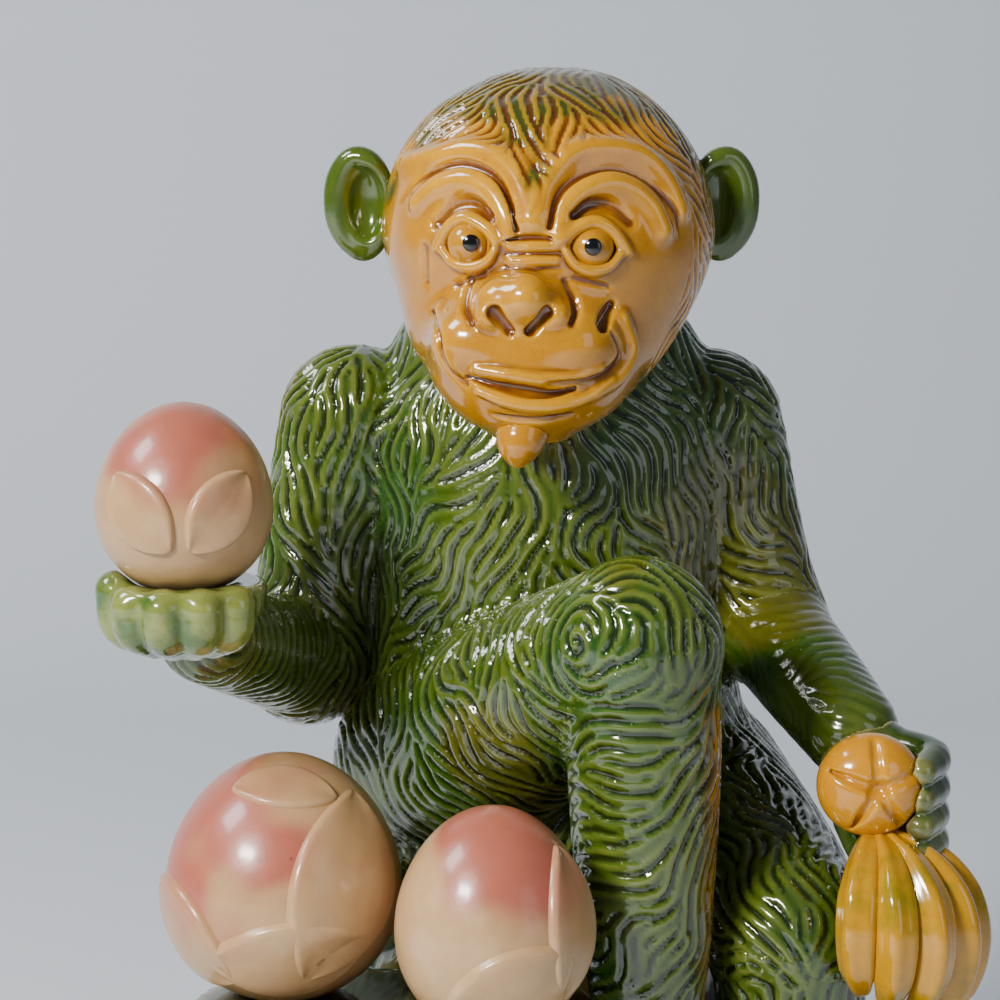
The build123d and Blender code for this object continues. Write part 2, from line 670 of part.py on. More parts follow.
# Leaves: thin ones pressed on the peaches, each aimed from the middle of its peach
held_size = (held_peach, held_peach_width, held_peach_height)
outer_size = (outer_peach, outer_peach_width, outer_peach_height)
inner_size = (inner_peach, inner_peach_width, inner_peach_height)
leaf_plan = {
    "outer_peach_top_leaf": (outer_size, (0.05, -0.45, 0.88), 24, 9, -10),
    "outer_peach_side_leaf": (outer_size, (0.62, -0.78, 0.1), 44, 19, 65),
    "outer_peach_low_leaf": (outer_size, (0.1, -0.86, -0.5), 36, 15, 8),
    "outer_peach_back_leaf": (outer_size, (-0.78, -0.5, -0.38), 32, 16, -40),
    "inner_peach_side_leaf": (inner_size, (0.82, -0.52, 0.1), 34, 12, 80),
    "inner_peach_low_leaf": (inner_size, (0.2, -0.86, -0.5), 30, 14, 25),
    "held_peach_left_leaf": (held_size, (0.5, -0.85, -0.05), 22, 10, 50),
    "held_peach_right_leaf": (held_size, (-0.4, -0.9, -0.05), 22, 10, 130),
}
leaf_parts = []
leaf_cutters = []
for name, (size, aim, length, breadth, turn) in leaf_plan.items():
    leaf_shell = leaf_form(*size, aim, length, breadth, turn)
    other_peach = outer_size if size is inner_size else inner_size
    with BuildPart() as leaf:
        add(leaf_shell)
        add(rock_grown.part, mode=Mode.SUBTRACT)
        add(legs["right"][4], mode=Mode.SUBTRACT)
        add(peach_form(*other_peach, seam), mode=Mode.SUBTRACT)
        for cutter in leaf_cutters:
            add(cutter, mode=Mode.SUBTRACT)
    leaf_cutters.append(leaf_form(*size, aim, length, breadth, turn, seam))
    leaf.part.label = name
    leaf_parts.append(leaf)

# Bananas: each one an arc that starts under the crown, fanned out by its number
bananas = []
banana_cutters = []
for number in range(banana_count):
    fan = radians(number * banana_fan)
    out = Vector(cos(fan), -sin(fan), 0)
    bend = banana_bend_radius - number * banana_bend_step
    start = crown + out * 4 + Vector(0, 0, -crown_radius)
    first = radians(15)
    centre = start - out * bend * sin(first) - Vector(0, 0, bend * cos(first))
    line = []
    for step in range(6):
        turn = first + radians(banana_bend) * step / 5
        line.append(centre + out * bend * sin(turn) + Vector(0, 0, bend * cos(turn)))
    radii = [banana_neck_radius] + [share * banana_radius for share in (0.8, 1, 1, 0.9, 0.5)]
    side = (sin(fan), cos(fan), 0)
    with BuildPart() as banana:
        add(limb_form(line, radii, side=side))
        add(banana_crown.part, mode=Mode.SUBTRACT)
        for form in left_hand_forms:
            add(form, mode=Mode.SUBTRACT)
        for cutter in banana_cutters:
            add(cutter, mode=Mode.SUBTRACT)
    banana.part.label = f"banana_{number + 1}"
    banana_cutters.append(limb_form(line, radii, seam, side=side))
    bananas.append(banana)

pieces = [foot_plinth, rock_mound, torso, head, *eye_parts, *ear_parts, chin_tuft,
          right_upper_arm, right_forearm, right_hand, left_upper_arm, left_forearm, left_hand, banana_crown,
          *legs["right"][:3], *legs["left"][:3], tail, held_peach_part, outer_peach_part, inner_peach_part,
          *leaf_parts, *bananas]
for piece in pieces:
    export_step(piece.part, f"parts/{piece.part.label}.step")
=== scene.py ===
"""Glazed ceramic monkey figurine: modelled forms, carved fur, run glazes, studio light and camera."""
import logging
import math
from dataclasses import dataclass, field
from enum import Enum
from typing import Callable, Optional, Sequence

import bpy
import numpy as np
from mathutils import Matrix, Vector, kdtree


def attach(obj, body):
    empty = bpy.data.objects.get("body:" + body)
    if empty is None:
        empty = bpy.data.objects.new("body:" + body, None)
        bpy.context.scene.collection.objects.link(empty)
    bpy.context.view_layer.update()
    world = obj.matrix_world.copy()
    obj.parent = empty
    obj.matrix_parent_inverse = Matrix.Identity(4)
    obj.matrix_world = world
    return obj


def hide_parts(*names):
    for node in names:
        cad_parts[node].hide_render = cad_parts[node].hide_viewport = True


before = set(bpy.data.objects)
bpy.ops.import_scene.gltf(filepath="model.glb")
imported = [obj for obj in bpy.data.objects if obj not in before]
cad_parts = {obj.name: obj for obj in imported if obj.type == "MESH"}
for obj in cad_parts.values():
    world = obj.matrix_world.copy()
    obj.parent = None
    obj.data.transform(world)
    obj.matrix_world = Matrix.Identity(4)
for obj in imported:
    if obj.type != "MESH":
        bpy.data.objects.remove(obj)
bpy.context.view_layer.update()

LOG = logging.getLogger("figurine")
MM = 0.001
SEED = 7
SPECK_COLOUR = "#1d1407"


# Distance forms: every shape is a signed distance in millimetres, negative inside the clay


def smooth_min(first: np.ndarray, second: np.ndarray, soft: float) -> np.ndarray:
    """Join two distances with a fillet of about this size."""
    if soft <= 0:
        return np.minimum(first, second)
    share = np.clip(0.5 + 0.5 * (second - first) / soft, 0, 1)
    return second + (first - second) * share - soft * share * (1 - share)


def smooth_max(first: np.ndarray, second: np.ndarray, soft: float) -> np.ndarray:
    """Keep what is inside both distances, with a softened edge."""
    return -smooth_min(-first, -second, soft)


def smooth_rows(rows: np.ndarray, steps: int) -> np.ndarray:
    """Pass a smooth curve through rows of numbers and return more rows along it.

    Args:
        rows: one row a knot.
        steps: new rows from each knot to the next.

    Returns:
        The rows of the curve, its knots among them.
    """
    padded = np.vstack([2 * rows[0] - rows[1], rows, 2 * rows[-1] - rows[-2]])
    out = []
    for before, start, end, after in zip(padded, padded[1:], padded[2:], padded[3:]):
        for share in np.arange(steps) / steps:
            rise = (end - before) / 2
            fall = (after - start) / 2
            square, cube = share * share, share ** 3
            out.append((2 * cube - 3 * square + 1) * start + (cube - 2 * square + share) * rise
                       + (3 * square - 2 * cube) * end + (cube - square) * fall)
    out.append(rows[-1])
    return np.array(out)


class Form:
    """A shape that knows how far any point lies from its skin."""

    def distance(self, points: np.ndarray) -> np.ndarray:
        """Return the signed distance of each point, in millimetres."""
        raise NotImplementedError

    def reach(self) -> tuple[np.ndarray, np.ndarray]:
        """Return the lowest and highest corner that the shape stays within."""
        raise NotImplementedError


class Ball(Form):
    """An ellipsoid, turned so that its third radius points along an axis."""

    def __init__(self, middle: Sequence[float], radii: Sequence[float], axis: Sequence[float] = (0, 0, 1),
                 across: Sequence[float] = (1, 0, 0)) -> None:
        self.middle = np.array(middle, float)
        self.radii = np.array(radii, float)
        third = np.array(axis, float) / np.linalg.norm(axis)
        second = np.cross(third, across)
        second /= np.linalg.norm(second)
        self.frame = np.stack([np.cross(second, third), second, third])

    def distance(self, points: np.ndarray) -> np.ndarray:
        """Return the approximate signed distance of each point."""
        local = (points - self.middle) @ self.frame.T
        scaled = np.linalg.norm(local / self.radii, axis=1)
        slope = np.linalg.norm(local / self.radii ** 2, axis=1) + 1e-9
        return np.maximum(scaled * (scaled - 1) / slope, -self.radii.min())

    def reach(self) -> tuple[np.ndarray, np.ndarray]:
        """Return a box round the ellipsoid."""
        half = np.abs(self.frame.T * self.radii).sum(axis=1)
        return self.middle - half, self.middle + half


class Chain(Form):
    """A bent line of places with a radius at each one, such as a limb, finger, ridge or groove."""

    def __init__(self, places: Sequence[Sequence[float]], radii: Sequence[float], steps: int = 4) -> None:
        rows = np.array([(*place, radius) for place, radius in zip(places, radii)], float)
        rows = smooth_rows(rows, steps) if len(rows) > 2 else rows
        self.places = rows[:, :3]
        self.radii = np.maximum(rows[:, 3], 0.05)

    def distance(self, points: np.ndarray) -> np.ndarray:
        """Return the distance to the nearest stretch of the line, less its radius there."""
        best = np.full(len(points), 1e6)
        for start, end, near, far in zip(self.places, self.places[1:], self.radii, self.radii[1:]):
            way = end - start
            offset = points - start
            share = np.clip(offset @ way / max(way @ way, 1e-9), 0, 1)
            gap = np.linalg.norm(offset - share[:, None] * way, axis=1)
            np.minimum(best, gap - near - (far - near) * share, out=best)
        return best

    def reach(self) -> tuple[np.ndarray, np.ndarray]:
        """Return a box round the line."""
        wide = self.radii.max()
        return self.places.min(axis=0) - wide, self.places.max(axis=0) + wide


class Stack(Form):
    """Egg-shaped ovals over one another: height, middle x and y, half width, front and back."""

    def __init__(self, levels: Sequence[Sequence[float]], steps: int = 8) -> None:
        self.rows = smooth_rows(np.array(levels, float), steps)
        self.rows[:, 3:] = np.maximum(self.rows[:, 3:], 0.5)

    def distance(self, points: np.ndarray) -> np.ndarray:
        """Return the approximate signed distance of each point."""
        heights = self.rows[:, 0]
        height = np.clip(points[:, 2], heights[0], heights[-1])
        mid_x, mid_y, wide, front, back = [np.interp(height, heights, self.rows[:, i]) for i in range(1, 6)]
        across = points[:, 0] - mid_x
        deep = points[:, 1] - mid_y
        reach = np.where(deep > 0, back, front)
        scaled = np.hypot(across / wide, deep / reach)
        slope = np.hypot(across / wide ** 2, deep / reach ** 2) + 1e-9
        flat = np.maximum(scaled * (scaled - 1) / slope, -np.minimum(wide, reach))
        over = np.abs(points[:, 2] - height)
        return np.where(over > 0, np.hypot(np.maximum(flat, 0), over), np.maximum(flat, -1e3))

    def reach(self) -> tuple[np.ndarray, np.ndarray]:
        """Return a box round all the ovals."""
        rows = self.rows
        low = ((rows[:, 1] - rows[:, 3]).min(), (rows[:, 2] - rows[:, 4]).min(), rows[0, 0])
        high = ((rows[:, 1] + rows[:, 3]).max(), (rows[:, 2] + rows[:, 5]).max(), rows[-1, 0])
        return np.array(low), np.array(high)


class Slab(Form):
    """Everything on one side of a plane."""

    def __init__(self, place: Sequence[float], outward: Sequence[float]) -> None:
        self.place = np.array(place, float)
        self.outward = np.array(outward, float) / np.linalg.norm(outward)

    def distance(self, points: np.ndarray) -> np.ndarray:
        """Return the height over the plane."""
        return (points - self.place) @ self.outward

    def reach(self) -> tuple[np.ndarray, np.ndarray]:
        """Return a box without limits."""
        return np.full(3, -1e4), np.full(3, 1e4)


class RockMass(Form):
    """One uneven many-sided mass of rock: outlines of height, middle x and y, and half sizes."""

    sides: int = 11
    roughness: float = 0.05
    corner_step: float = 2.6
    corner_drift: float = 0.09
    wear: float = 1.1
    broad_wear: float = 0.9
    fine_wear: float = 0.35

    def __init__(self, levels: Sequence[Sequence[float]]) -> None:
        self.rows = np.array(levels, float)

    def distance(self, points: np.ndarray) -> np.ndarray:
        """Return the approximate signed distance of each point, uneven on the sides only."""
        heights = self.rows[:, 0]
        height = np.clip(points[:, 2], heights[0], heights[-1])
        mid_x, mid_y, wide, deep = [np.interp(height, heights, self.rows[:, i]) for i in range(1, 5)]
        across, back = (points[:, 0] - mid_x) / wide, (points[:, 1] - mid_y) / deep
        share = (np.arctan2(back, across) / (2 * math.pi) % 1) * self.sides
        corner = np.floor(share)
        drift = self.corner_drift * height
        near = 1 + self.roughness * np.sin(self.corner_step * corner + drift)
        far = 1 + self.roughness * np.sin(self.corner_step * ((corner + 1) % self.sides) + drift)
        flat = math.cos(math.pi / self.sides) / np.cos((share - corner - 0.5) * 2 * math.pi / self.sides)
        outline = (near + (far - near) * (share - corner)) * flat
        side = (np.hypot(across, back) / outline - 1) * np.minimum(wide, deep)
        worn = (self.wear + self.broad_wear * wander(points, 15.0, SEED + 3)
                + self.fine_wear * wander(points, 5.0, SEED + 4))
        beyond = np.maximum(points[:, 2] - heights[-1], heights[0] - points[:, 2])
        return np.maximum(side + np.maximum(worn, 0), beyond)

    def reach(self) -> tuple[np.ndarray, np.ndarray]:
        """Return a box round all the outlines."""
        rows = self.rows
        grown = 1 + self.roughness
        low = ((rows[:, 1] - grown * rows[:, 3]).min(), (rows[:, 2] - grown * rows[:, 4]).min(), rows[0, 0])
        high = ((rows[:, 1] + grown * rows[:, 3]).max(), (rows[:, 2] + grown * rows[:, 4]).max(), rows[-1, 0])
        return np.array(low), np.array(high)


class LeafRelief(Form):
    """A pointed leaf modelled low on a peach, a little thicker towards its rim."""

    rise: float = 1.5
    bed: float = 1.2
    fullness: float = 1.45

    def __init__(self, peach: Form, middle: Sequence[float], aim: Sequence[float], length: float,
                 breadth: float, turn: float) -> None:
        self.peach = peach
        self.middle = np.array(middle, float)
        self.aim = np.array(aim, float) / np.linalg.norm(aim)
        level = np.array([-self.aim[1], self.aim[0], 0.0])
        level /= np.linalg.norm(level)
        turned = math.radians(turn)
        self.along = level * math.cos(turned) + np.cross(self.aim, level) * math.sin(turned)
        self.side = np.cross(self.aim, self.along)
        self.length = length
        self.breadth = breadth

    def distance(self, points: np.ndarray) -> np.ndarray:
        """Return the approximate signed distance of each point."""
        offset = points - self.middle
        along, across = offset @ self.along / (self.length / 2), offset @ self.side
        half = 0.5 * self.fullness * self.breadth * np.clip(1 - along ** 2, 0, 1) ** 0.75
        edge = np.maximum(np.abs(across) - half, (np.abs(along) - 1) * self.length / 2)
        from_vein = np.clip(np.abs(across) / np.maximum(half, 0.5), 0, 1)
        lift = self.rise * (0.6 + 0.4 * smooth_step(0.1, 0.9, from_vein))
        height = self.peach.distance(points)
        form = smooth_max(height - lift, edge, 1.2)
        return np.maximum(np.maximum(form, -self.bed - height), -(offset @ self.aim))

    def reach(self) -> tuple[np.ndarray, np.ndarray]:
        """Return a box round the peach and its leaf."""
        low, high = self.peach.reach()
        return low - self.rise - 1, high + self.rise + 1


class Modelled(Form):
    """A base form with clay added and carved away, each with its own softness."""

    margin: float = 8

    def __init__(self, base: Form) -> None:
        self.base = base
        self.steps: list[tuple[str, Form, float]] = []

    def add(self, form: Form, soft: float) -> "Modelled":
        """Join a form to the clay."""
        self.steps.append(("add", form, soft))
        return self

    def carve(self, form: Form, soft: float) -> "Modelled":
        """Press a form into the clay."""
        self.steps.append(("carve", form, soft))
        return self

    def seam(self, form: Form, soft: float, gap: float) -> "Modelled":
        """Blend towards a neighbour and end half way to it."""
        self.steps.append(("seam", form, soft))
        self.steps.append(("gap", form, gap))
        return self

    def distance(self, points: np.ndarray) -> np.ndarray:
        """Return the signed distance after all the steps."""
        own = self.base.distance(points)
        ends = []
        for kind, form, amount in self.steps:
            low, high = form.reach()
            margin = self.margin + abs(amount)
            near = np.all((points > low - margin) & (points < high + margin), axis=1)
            if not near.any():
                continue
            other = form.distance(points[near])
            if kind == "add":
                own[near] = smooth_min(own[near], other, amount)
            elif kind == "carve":
                own[near] = smooth_max(own[near], -other, amount)
            elif kind == "seam":
                ends.append((near, other, amount))
            else:
                ends[-1] = (*ends[-1], amount)
        whole = own.copy()
        for near, other, soft, _ in ends:
            whole[near] = smooth_min(whole[near], other, soft)
        for near, other, _, gap in ends:
            whole[near] = np.maximum(whole[near], (own[near] - other) / 2 - gap)
        return whole

    def reach(self) -> tuple[np.ndarray, np.ndarray]:
        """Return a box round the base and what was added."""
        low, high = self.base.reach()
        for kind, form, _ in self.steps:
            if kind == "add":
                other_low, other_high = form.reach()
                low = np.minimum(low, other_low)
                high = np.maximum(high, other_high)
        return low - 1, high + 1


# Skins: closed meshes pulled over a form


@dataclass
class Skin:
    """A closed mesh in millimetres, with a number on each point for each glaze mask."""

    name: str
    points: np.ndarray
    faces: np.ndarray
    normals: np.ndarray
    masks: dict[str, np.ndarray] = field(default_factory=dict)


def sample_grid(form: Form, low: np.ndarray, counts: np.ndarray, cell: float) -> np.ndarray:
    """Measure a form on a grid, finely only near its skin."""
    block = 4
    near_blocks = 1.9
    coarse_counts = -(-counts // block) + 1
    axes = [low[i] + cell * block * np.arange(coarse_counts[i]) for i in range(3)]
    coarse_points = np.stack(np.meshgrid(*axes, indexing="ij"), -1).reshape(-1, 3)
    coarse = form.distance(coarse_points).reshape(coarse_counts)
    near = np.abs(coarse) < cell * block * near_blocks
    grown = near.copy()
    for axis in range(3):
        grown |= np.roll(near, 1, axis) | np.roll(near, -1, axis)
    fine = coarse
    keep = grown
    for axis in range(3):
        fine = np.repeat(fine, block, axis)
        keep = np.repeat(keep, block, axis)
    fine = fine[:counts[0], :counts[1], :counts[2]].copy()
    keep = keep[:counts[0], :counts[1], :counts[2]]
    places = np.argwhere(keep)
    fine[keep] = form.distance(low + cell * places)
    return fine


def skin_over(name: str, form: Form, cell: float) -> Skin:
    """Pull a mesh of four-sided faces over the skin of a form.

    Args:
        name: the piece's name.
        form: the shape.
        cell: the size of a face, in millimetres.

    Returns:
        The closed mesh, its points on the form's skin.
    """
    low, high = form.reach()
    low = low - 3 * cell
    counts = np.ceil((high - low) / cell).astype(int) + 4
    values = sample_grid(form, low, counts, cell)
    inside = values < 0
    nx, ny, nz = counts - 1
    tally = np.zeros((nx, ny, nz), np.uint8)
    for i in (0, 1):
        for j in (0, 1):
            for k in (0, 1):
                tally += inside[i:nx + i, j:ny + j, k:nz + k]
    active = (tally > 0) & (tally < 8)
    cells = np.argwhere(active)
    index = np.full(active.shape, -1)
    index[active] = np.arange(len(cells))
    total = np.zeros((len(cells), 3))
    hits = np.zeros(len(cells))
    unit = np.eye(3, dtype=int)
    for axis in range(3):
        side, other = unit[(axis + 1) % 3], unit[(axis + 2) % 3]
        for shift in (0 * side, side, other, side + other):
            start = cells + shift
            end = start + unit[axis]
            first = values[tuple(start.T)]
            second = values[tuple(end.T)]
            cross = (first < 0) != (second < 0)
            share = first[cross] / (first[cross] - second[cross])
            total[cross] += start[cross] + share[:, None] * unit[axis]
            hits[cross] += 1
    points = low + cell * total / hits[:, None]
    faces = []
    for axis in range(3):
        side, other = unit[(axis + 1) % 3], unit[(axis + 2) % 3]
        head = np.take(inside, np.arange(counts[axis] - 1), axis)
        tail = np.take(inside, np.arange(1, counts[axis]), axis)
        for flip, change in ((False, head & ~tail), (True, ~head & tail)):
            edges = np.argwhere(change)
            ring = [edges - side - other, edges - other, edges, edges - side]
            quad = np.stack([index[tuple(corner.T)] for corner in ring], 1)
            faces.append(quad[:, ::-1] if flip else quad)
    faces = np.concatenate(faces)
    points, normals = settle(form, relax(points, faces, 1), cell)
    points, normals = settle(form, points, cell)
    return Skin(name, points, faces, normals)


def relax(values: np.ndarray, faces: np.ndarray, rounds: int) -> np.ndarray:
    """Average the values of each point with its neighbours', so many times."""
    count = len(values)
    starts = faces.reshape(-1)
    ends = np.roll(faces, -1, axis=1).reshape(-1)
    tally = np.bincount(starts, minlength=count) + np.bincount(ends, minlength=count)
    flat = values.reshape(count, -1).astype(float)
    for _ in range(rounds):
        total = np.empty_like(flat)
        for column in range(flat.shape[1]):
            total[:, column] = (np.bincount(starts, flat[ends, column], count)
                                + np.bincount(ends, flat[starts, column], count))
        flat = 0.5 * flat + 0.5 * total / np.maximum(tally, 1)[:, None]
    return flat.reshape(values.shape)


def settle(form: Form, points: np.ndarray, cell: float) -> tuple[np.ndarray, np.ndarray]:
    """Move points onto the form's skin and return them with its outward directions there."""
    step = 0.4 * cell
    corners = np.array([(1, 1, 1), (1, -1, -1), (-1, 1, -1), (-1, -1, 1)], float)
    slope = sum(corner * form.distance(points + step * corner)[:, None] for corner in corners) / (4 * step)
    steep = np.linalg.norm(slope, axis=1, keepdims=True) + 1e-9
    move = np.clip(form.distance(points)[:, None] / np.maximum(steep, 0.3), -cell, cell)
    normals = slope / steep
    return points - normals * move, normals


def face_normals(points: np.ndarray, faces: np.ndarray) -> np.ndarray:
    """Return the outward direction at each point of a mesh."""
    across = points[faces[:, 2]] - points[faces[:, 0]]
    along = points[faces[:, 3]] - points[faces[:, 1]]
    flat = np.cross(across, along)
    total = np.zeros_like(points)
    for corner in range(4):
        for column in range(3):
            total[:, column] += np.bincount(faces[:, corner], flat[:, column], len(points))
    return total / (np.linalg.norm(total, axis=1, keepdims=True) + 1e-12)


def wander(points: np.ndarray, size: float, seed: int) -> np.ndarray:
    """Return a smooth random number from about -1 to 1 at each point, with lumps of this size."""
    waves, usual_total = 7, 2.6
    random = np.random.default_rng(seed)
    total = np.zeros(len(points))
    for _ in range(waves):
        way = random.normal(size=3)
        way /= np.linalg.norm(way)
        length = size * random.uniform(0.8, 1.5)
        total += np.sin(points @ way * 2 * math.pi / length + random.uniform(0, 6.3))
    return total / usual_total


def smooth_step(low: float, high: float, value: np.ndarray) -> np.ndarray:
    """Rise smoothly from 0 at low to 1 at high."""
    share = np.clip((value - low) / (high - low), 0, 1)
    return share * share * (3 - 2 * share)


# Fur: short S-shaped gouges that follow the lie of the hair


@dataclass(frozen=True)
class Lie:
    """Where the hair points: places on a piece, each with a direction and how deep the gouges are there."""

    place: tuple[float, float, float]
    way: tuple[float, float, float]
    depth: float = 1.0


@dataclass(frozen=True)
class Coat:
    """How a piece's fur is carved."""

    lies: tuple[Lie, ...]
    bare: Optional[Callable[[np.ndarray], np.ndarray]] = None
    spacing: float = 3.4
    depth: float = 0.85


@dataclass(frozen=True)
class Gouging:
    """The sizes, in millimetres, of the carving tool's marks."""

    stroke: float = 20.0
    wave: float = 34.0
    wave_size: float = 17.0
    kernel: float = 2.4
    rounds: int = 14
    neighbour_count: int = 15
    blended: int = 8
    raised: float = 0.3

    def carve(self, furs: Sequence[tuple[Skin, Coat]]) -> None:
        """Carve the fur of several pieces together and store the groove mask on each one."""
        points = np.concatenate([skin.points for skin, _ in furs])
        normals = np.concatenate([skin.normals for skin, _ in furs])
        flows, depths, spacings = [], [], []
        for skin, coat in furs:
            flow, depth = self.comb(skin, coat)
            flows.append(flow)
            depths.append(depth * coat.depth)
            spacings.append(np.full(len(depth), coat.spacing))
        flow = np.concatenate(flows)
        depth = np.concatenate(depths)
        spacing = np.concatenate(spacings)
        turn = np.radians(self.wave) * wander(points, self.wave_size, SEED)
        across = np.cross(normals, flow)
        flow = flow * np.cos(turn)[:, None] + across * np.sin(turn)[:, None]
        across = np.cross(normals, flow)
        chosen = self.choose(points)
        around = self.neighbours(points[chosen], points[chosen], self.neighbour_count)
        nearest = self.neighbours(points[chosen], points, self.blended)
        wave = across * (2 * math.pi / spacing)[:, None]
        slant = 0.5 * wave + flow * (2 * math.pi / self.stroke)
        angle, strength = self.stripes(points, normals, chosen, wave, around, nearest)
        end_angle, _ = self.stripes(points, normals, chosen, slant, around, nearest)
        groove = smooth_step(0.3, 1.0, 0.5 + 0.5 * np.cos(angle)) * smooth_step(0.2, 0.6, strength)
        fade = 0.35 + 0.65 * smooth_step(0.05, 0.4, 0.5 + 0.5 * np.cos(end_angle))
        groove = groove * fade
        uneven = 0.9 + 0.25 * wander(points, 30.0, SEED + 1)
        moved = points + normals * ((self.raised - groove) * depth * uneven)[:, None]
        start = 0
        for skin, coat in furs:
            end = start + len(skin.points)
            skin.points = moved[start:end]
            skin.masks["groove"] = groove[start:end] * np.clip(depth[start:end] / coat.depth, 0, 1)
            start = end

    def choose(self, points: np.ndarray) -> np.ndarray:
        """Return the numbers of points about one kernel apart, in a mixed order."""
        most_cells = 4096
        cells = np.floor(points / self.kernel).astype(np.int64)
        code = cells @ np.array([1, most_cells, most_cells * most_cells])
        _, chosen = np.unique(code, return_index=True)
        return chosen[np.random.default_rng(SEED).permutation(len(chosen))]

    @staticmethod
    def comb(skin: Skin, coat: Coat) -> tuple[np.ndarray, np.ndarray]:
        """Return the lie of the hair along the skin and how deep it is carved, at each point."""
        places = np.array([lie.place for lie in coat.lies], float)
        ways = np.array([lie.way for lie in coat.lies], float)
        ways /= np.linalg.norm(ways, axis=1, keepdims=True)
        deep = np.array([lie.depth for lie in coat.lies], float)
        gaps = np.linalg.norm(skin.points[:, None] - places[None], axis=2)
        pull = 1 / (gaps ** 2 + 30) ** 1.5
        pull /= pull.sum(axis=1, keepdims=True)
        flow = pull @ ways
        flow -= (flow * skin.normals).sum(axis=1, keepdims=True) * skin.normals
        flow /= np.linalg.norm(flow, axis=1, keepdims=True) + 1e-9
        depth = pull @ deep
        if coat.bare is not None:
            depth = depth * (1 - coat.bare(skin.points))
        return flow, depth

    @staticmethod
    def neighbours(centres: np.ndarray, points: np.ndarray, count: int) -> np.ndarray:
        """Return the numbers of the nearest centres of each point."""
        tree = kdtree.KDTree(len(centres))
        for number, centre in enumerate(centres):
            tree.insert(centre, number)
        tree.balance()
        found = [[hit[1] for hit in tree.find_n(point, count)] for point in points]
        return np.array(found)

    def stripes(self, points: np.ndarray, normals: np.ndarray, chosen: np.ndarray, wave: np.ndarray,
                around: np.ndarray, nearest: np.ndarray) -> tuple[np.ndarray, np.ndarray]:
        """Lay even stripes along the skin whose spacing and direction are those of a wave field.

        Args:
            points: all the points.
            normals: the outward directions at them.
            chosen: the points that carry a phase.
            wave: the wave vector at each point.
            around: the neighbours among the chosen points of each chosen point.
            nearest: the chosen points nearest to each point.

        Returns:
            The angle of the stripes at each point, and how well the stripes agree there.
        """
        centres, facing, ways = points[chosen], normals[chosen], wave[chosen]
        offset = centres[:, None] - centres[around]
        turn = 0.5 * ((ways[:, None] + ways[around]) * offset).sum(axis=2)
        alike = np.clip((facing[:, None] * facing[around]).sum(axis=2), 0, 1)
        weight = alike ** 2 * np.exp(-(offset ** 2).sum(axis=2) / (2 * self.kernel) ** 2)
        phase = self.first_phases(around, weight, turn)
        for _ in range(self.rounds):
            total = (weight * np.exp(1j * (phase[around] + turn))).sum(axis=1)
            phase = np.angle(0.5 * np.exp(1j * phase) + 0.5 * total / (np.abs(total) + 1e-9))
        offset = points[:, None] - centres[nearest]
        alike = np.clip((normals[:, None] * facing[nearest]).sum(axis=2), 0, 1)
        weight = alike ** 2 * np.exp(-(offset ** 2).sum(axis=2) / (0.9 * self.kernel) ** 2) + 1e-9
        angles = phase[nearest] + 0.5 * ((wave[:, None] + ways[nearest]) * offset).sum(axis=2)
        total = (weight * np.exp(1j * angles)).sum(axis=1) / weight.sum(axis=1)
        return np.angle(total), np.abs(total)

    @staticmethod
    def first_phases(around: np.ndarray, weight: np.ndarray, turn: np.ndarray) -> np.ndarray:
        """Spread a phase from point to neighbouring point until every one has its own.

        Args:
            around: the neighbours of each point.
            weight: how much each neighbour counts.
            turn: how far the phase turns from each neighbour to the point.

        Returns:
            The phase of each point.
        """
        phase = np.full(len(around), np.nan)
        for seed in range(len(around)):
            if not np.isnan(phase[seed]):
                continue
            phase[seed] = 0.0
            queue = [seed]
            for number in queue:
                for other in around[number]:
                    if not np.isnan(phase[other]):
                        continue
                    near = around[other]
                    known = ~np.isnan(phase[near]) & (weight[other] > 1e-3)
                    if known.any():
                        angles = phase[near][known] + turn[other][known]
                        total = (weight[other][known] * np.exp(1j * angles)).sum()
                        phase[other] = np.angle(total)
                        queue.append(other)
        return phase


# Glazes


def linear(colour: str) -> tuple[float, float, float, float]:
    """Turn a colour such as "#8a3c00" into the linear numbers that shaders take."""
    parts = [int(colour[i:i + 2], 16) / 255 for i in (1, 3, 5)]
    values = [part / 12.92 if part <= 0.04045 else ((part + 0.055) / 1.055) ** 2.4 for part in parts]
    return (*values, 1.0)


def add_node(tree: bpy.types.NodeTree, kind: str, **values: object) -> bpy.types.Node:
    """Add a node, setting its own fields, and its sockets where a name starts with in_.

    Args:
        tree: the node tree.
        kind: the node's type name.
        values: fields by name, sockets by number as in_0 or by name as in_Scale.

    Returns:
        The new node.
    """
    made = tree.nodes.new(kind)
    for name, value in values.items():
        if not name.startswith("in_"):
            setattr(made, name, value)
            continue
        key = name[3:].replace("_", " ")
        socket = made.inputs[int(key)] if key.isdigit() else made.inputs[key]
        if isinstance(value, bpy.types.NodeSocket):
            tree.links.new(value, socket)
        else:
            socket.default_value = value
    return made


def mix(tree: bpy.types.NodeTree, share: object, first: object, second: object) -> bpy.types.NodeSocket:
    """Mix two colours by a share and return the colour that comes out."""
    made = add_node(tree, "ShaderNodeMix", data_type="RGBA", in_0=share, in_6=first, in_7=second)
    return made.outputs[2]


def calculate(tree: bpy.types.NodeTree, operation: str, *values: object) -> bpy.types.NodeSocket:
    """Do one sum on one or two values and return what comes out."""
    inputs = {f"in_{number}": value for number, value in enumerate(values)}
    return add_node(tree, "ShaderNodeMath", operation=operation, **inputs).outputs[0]


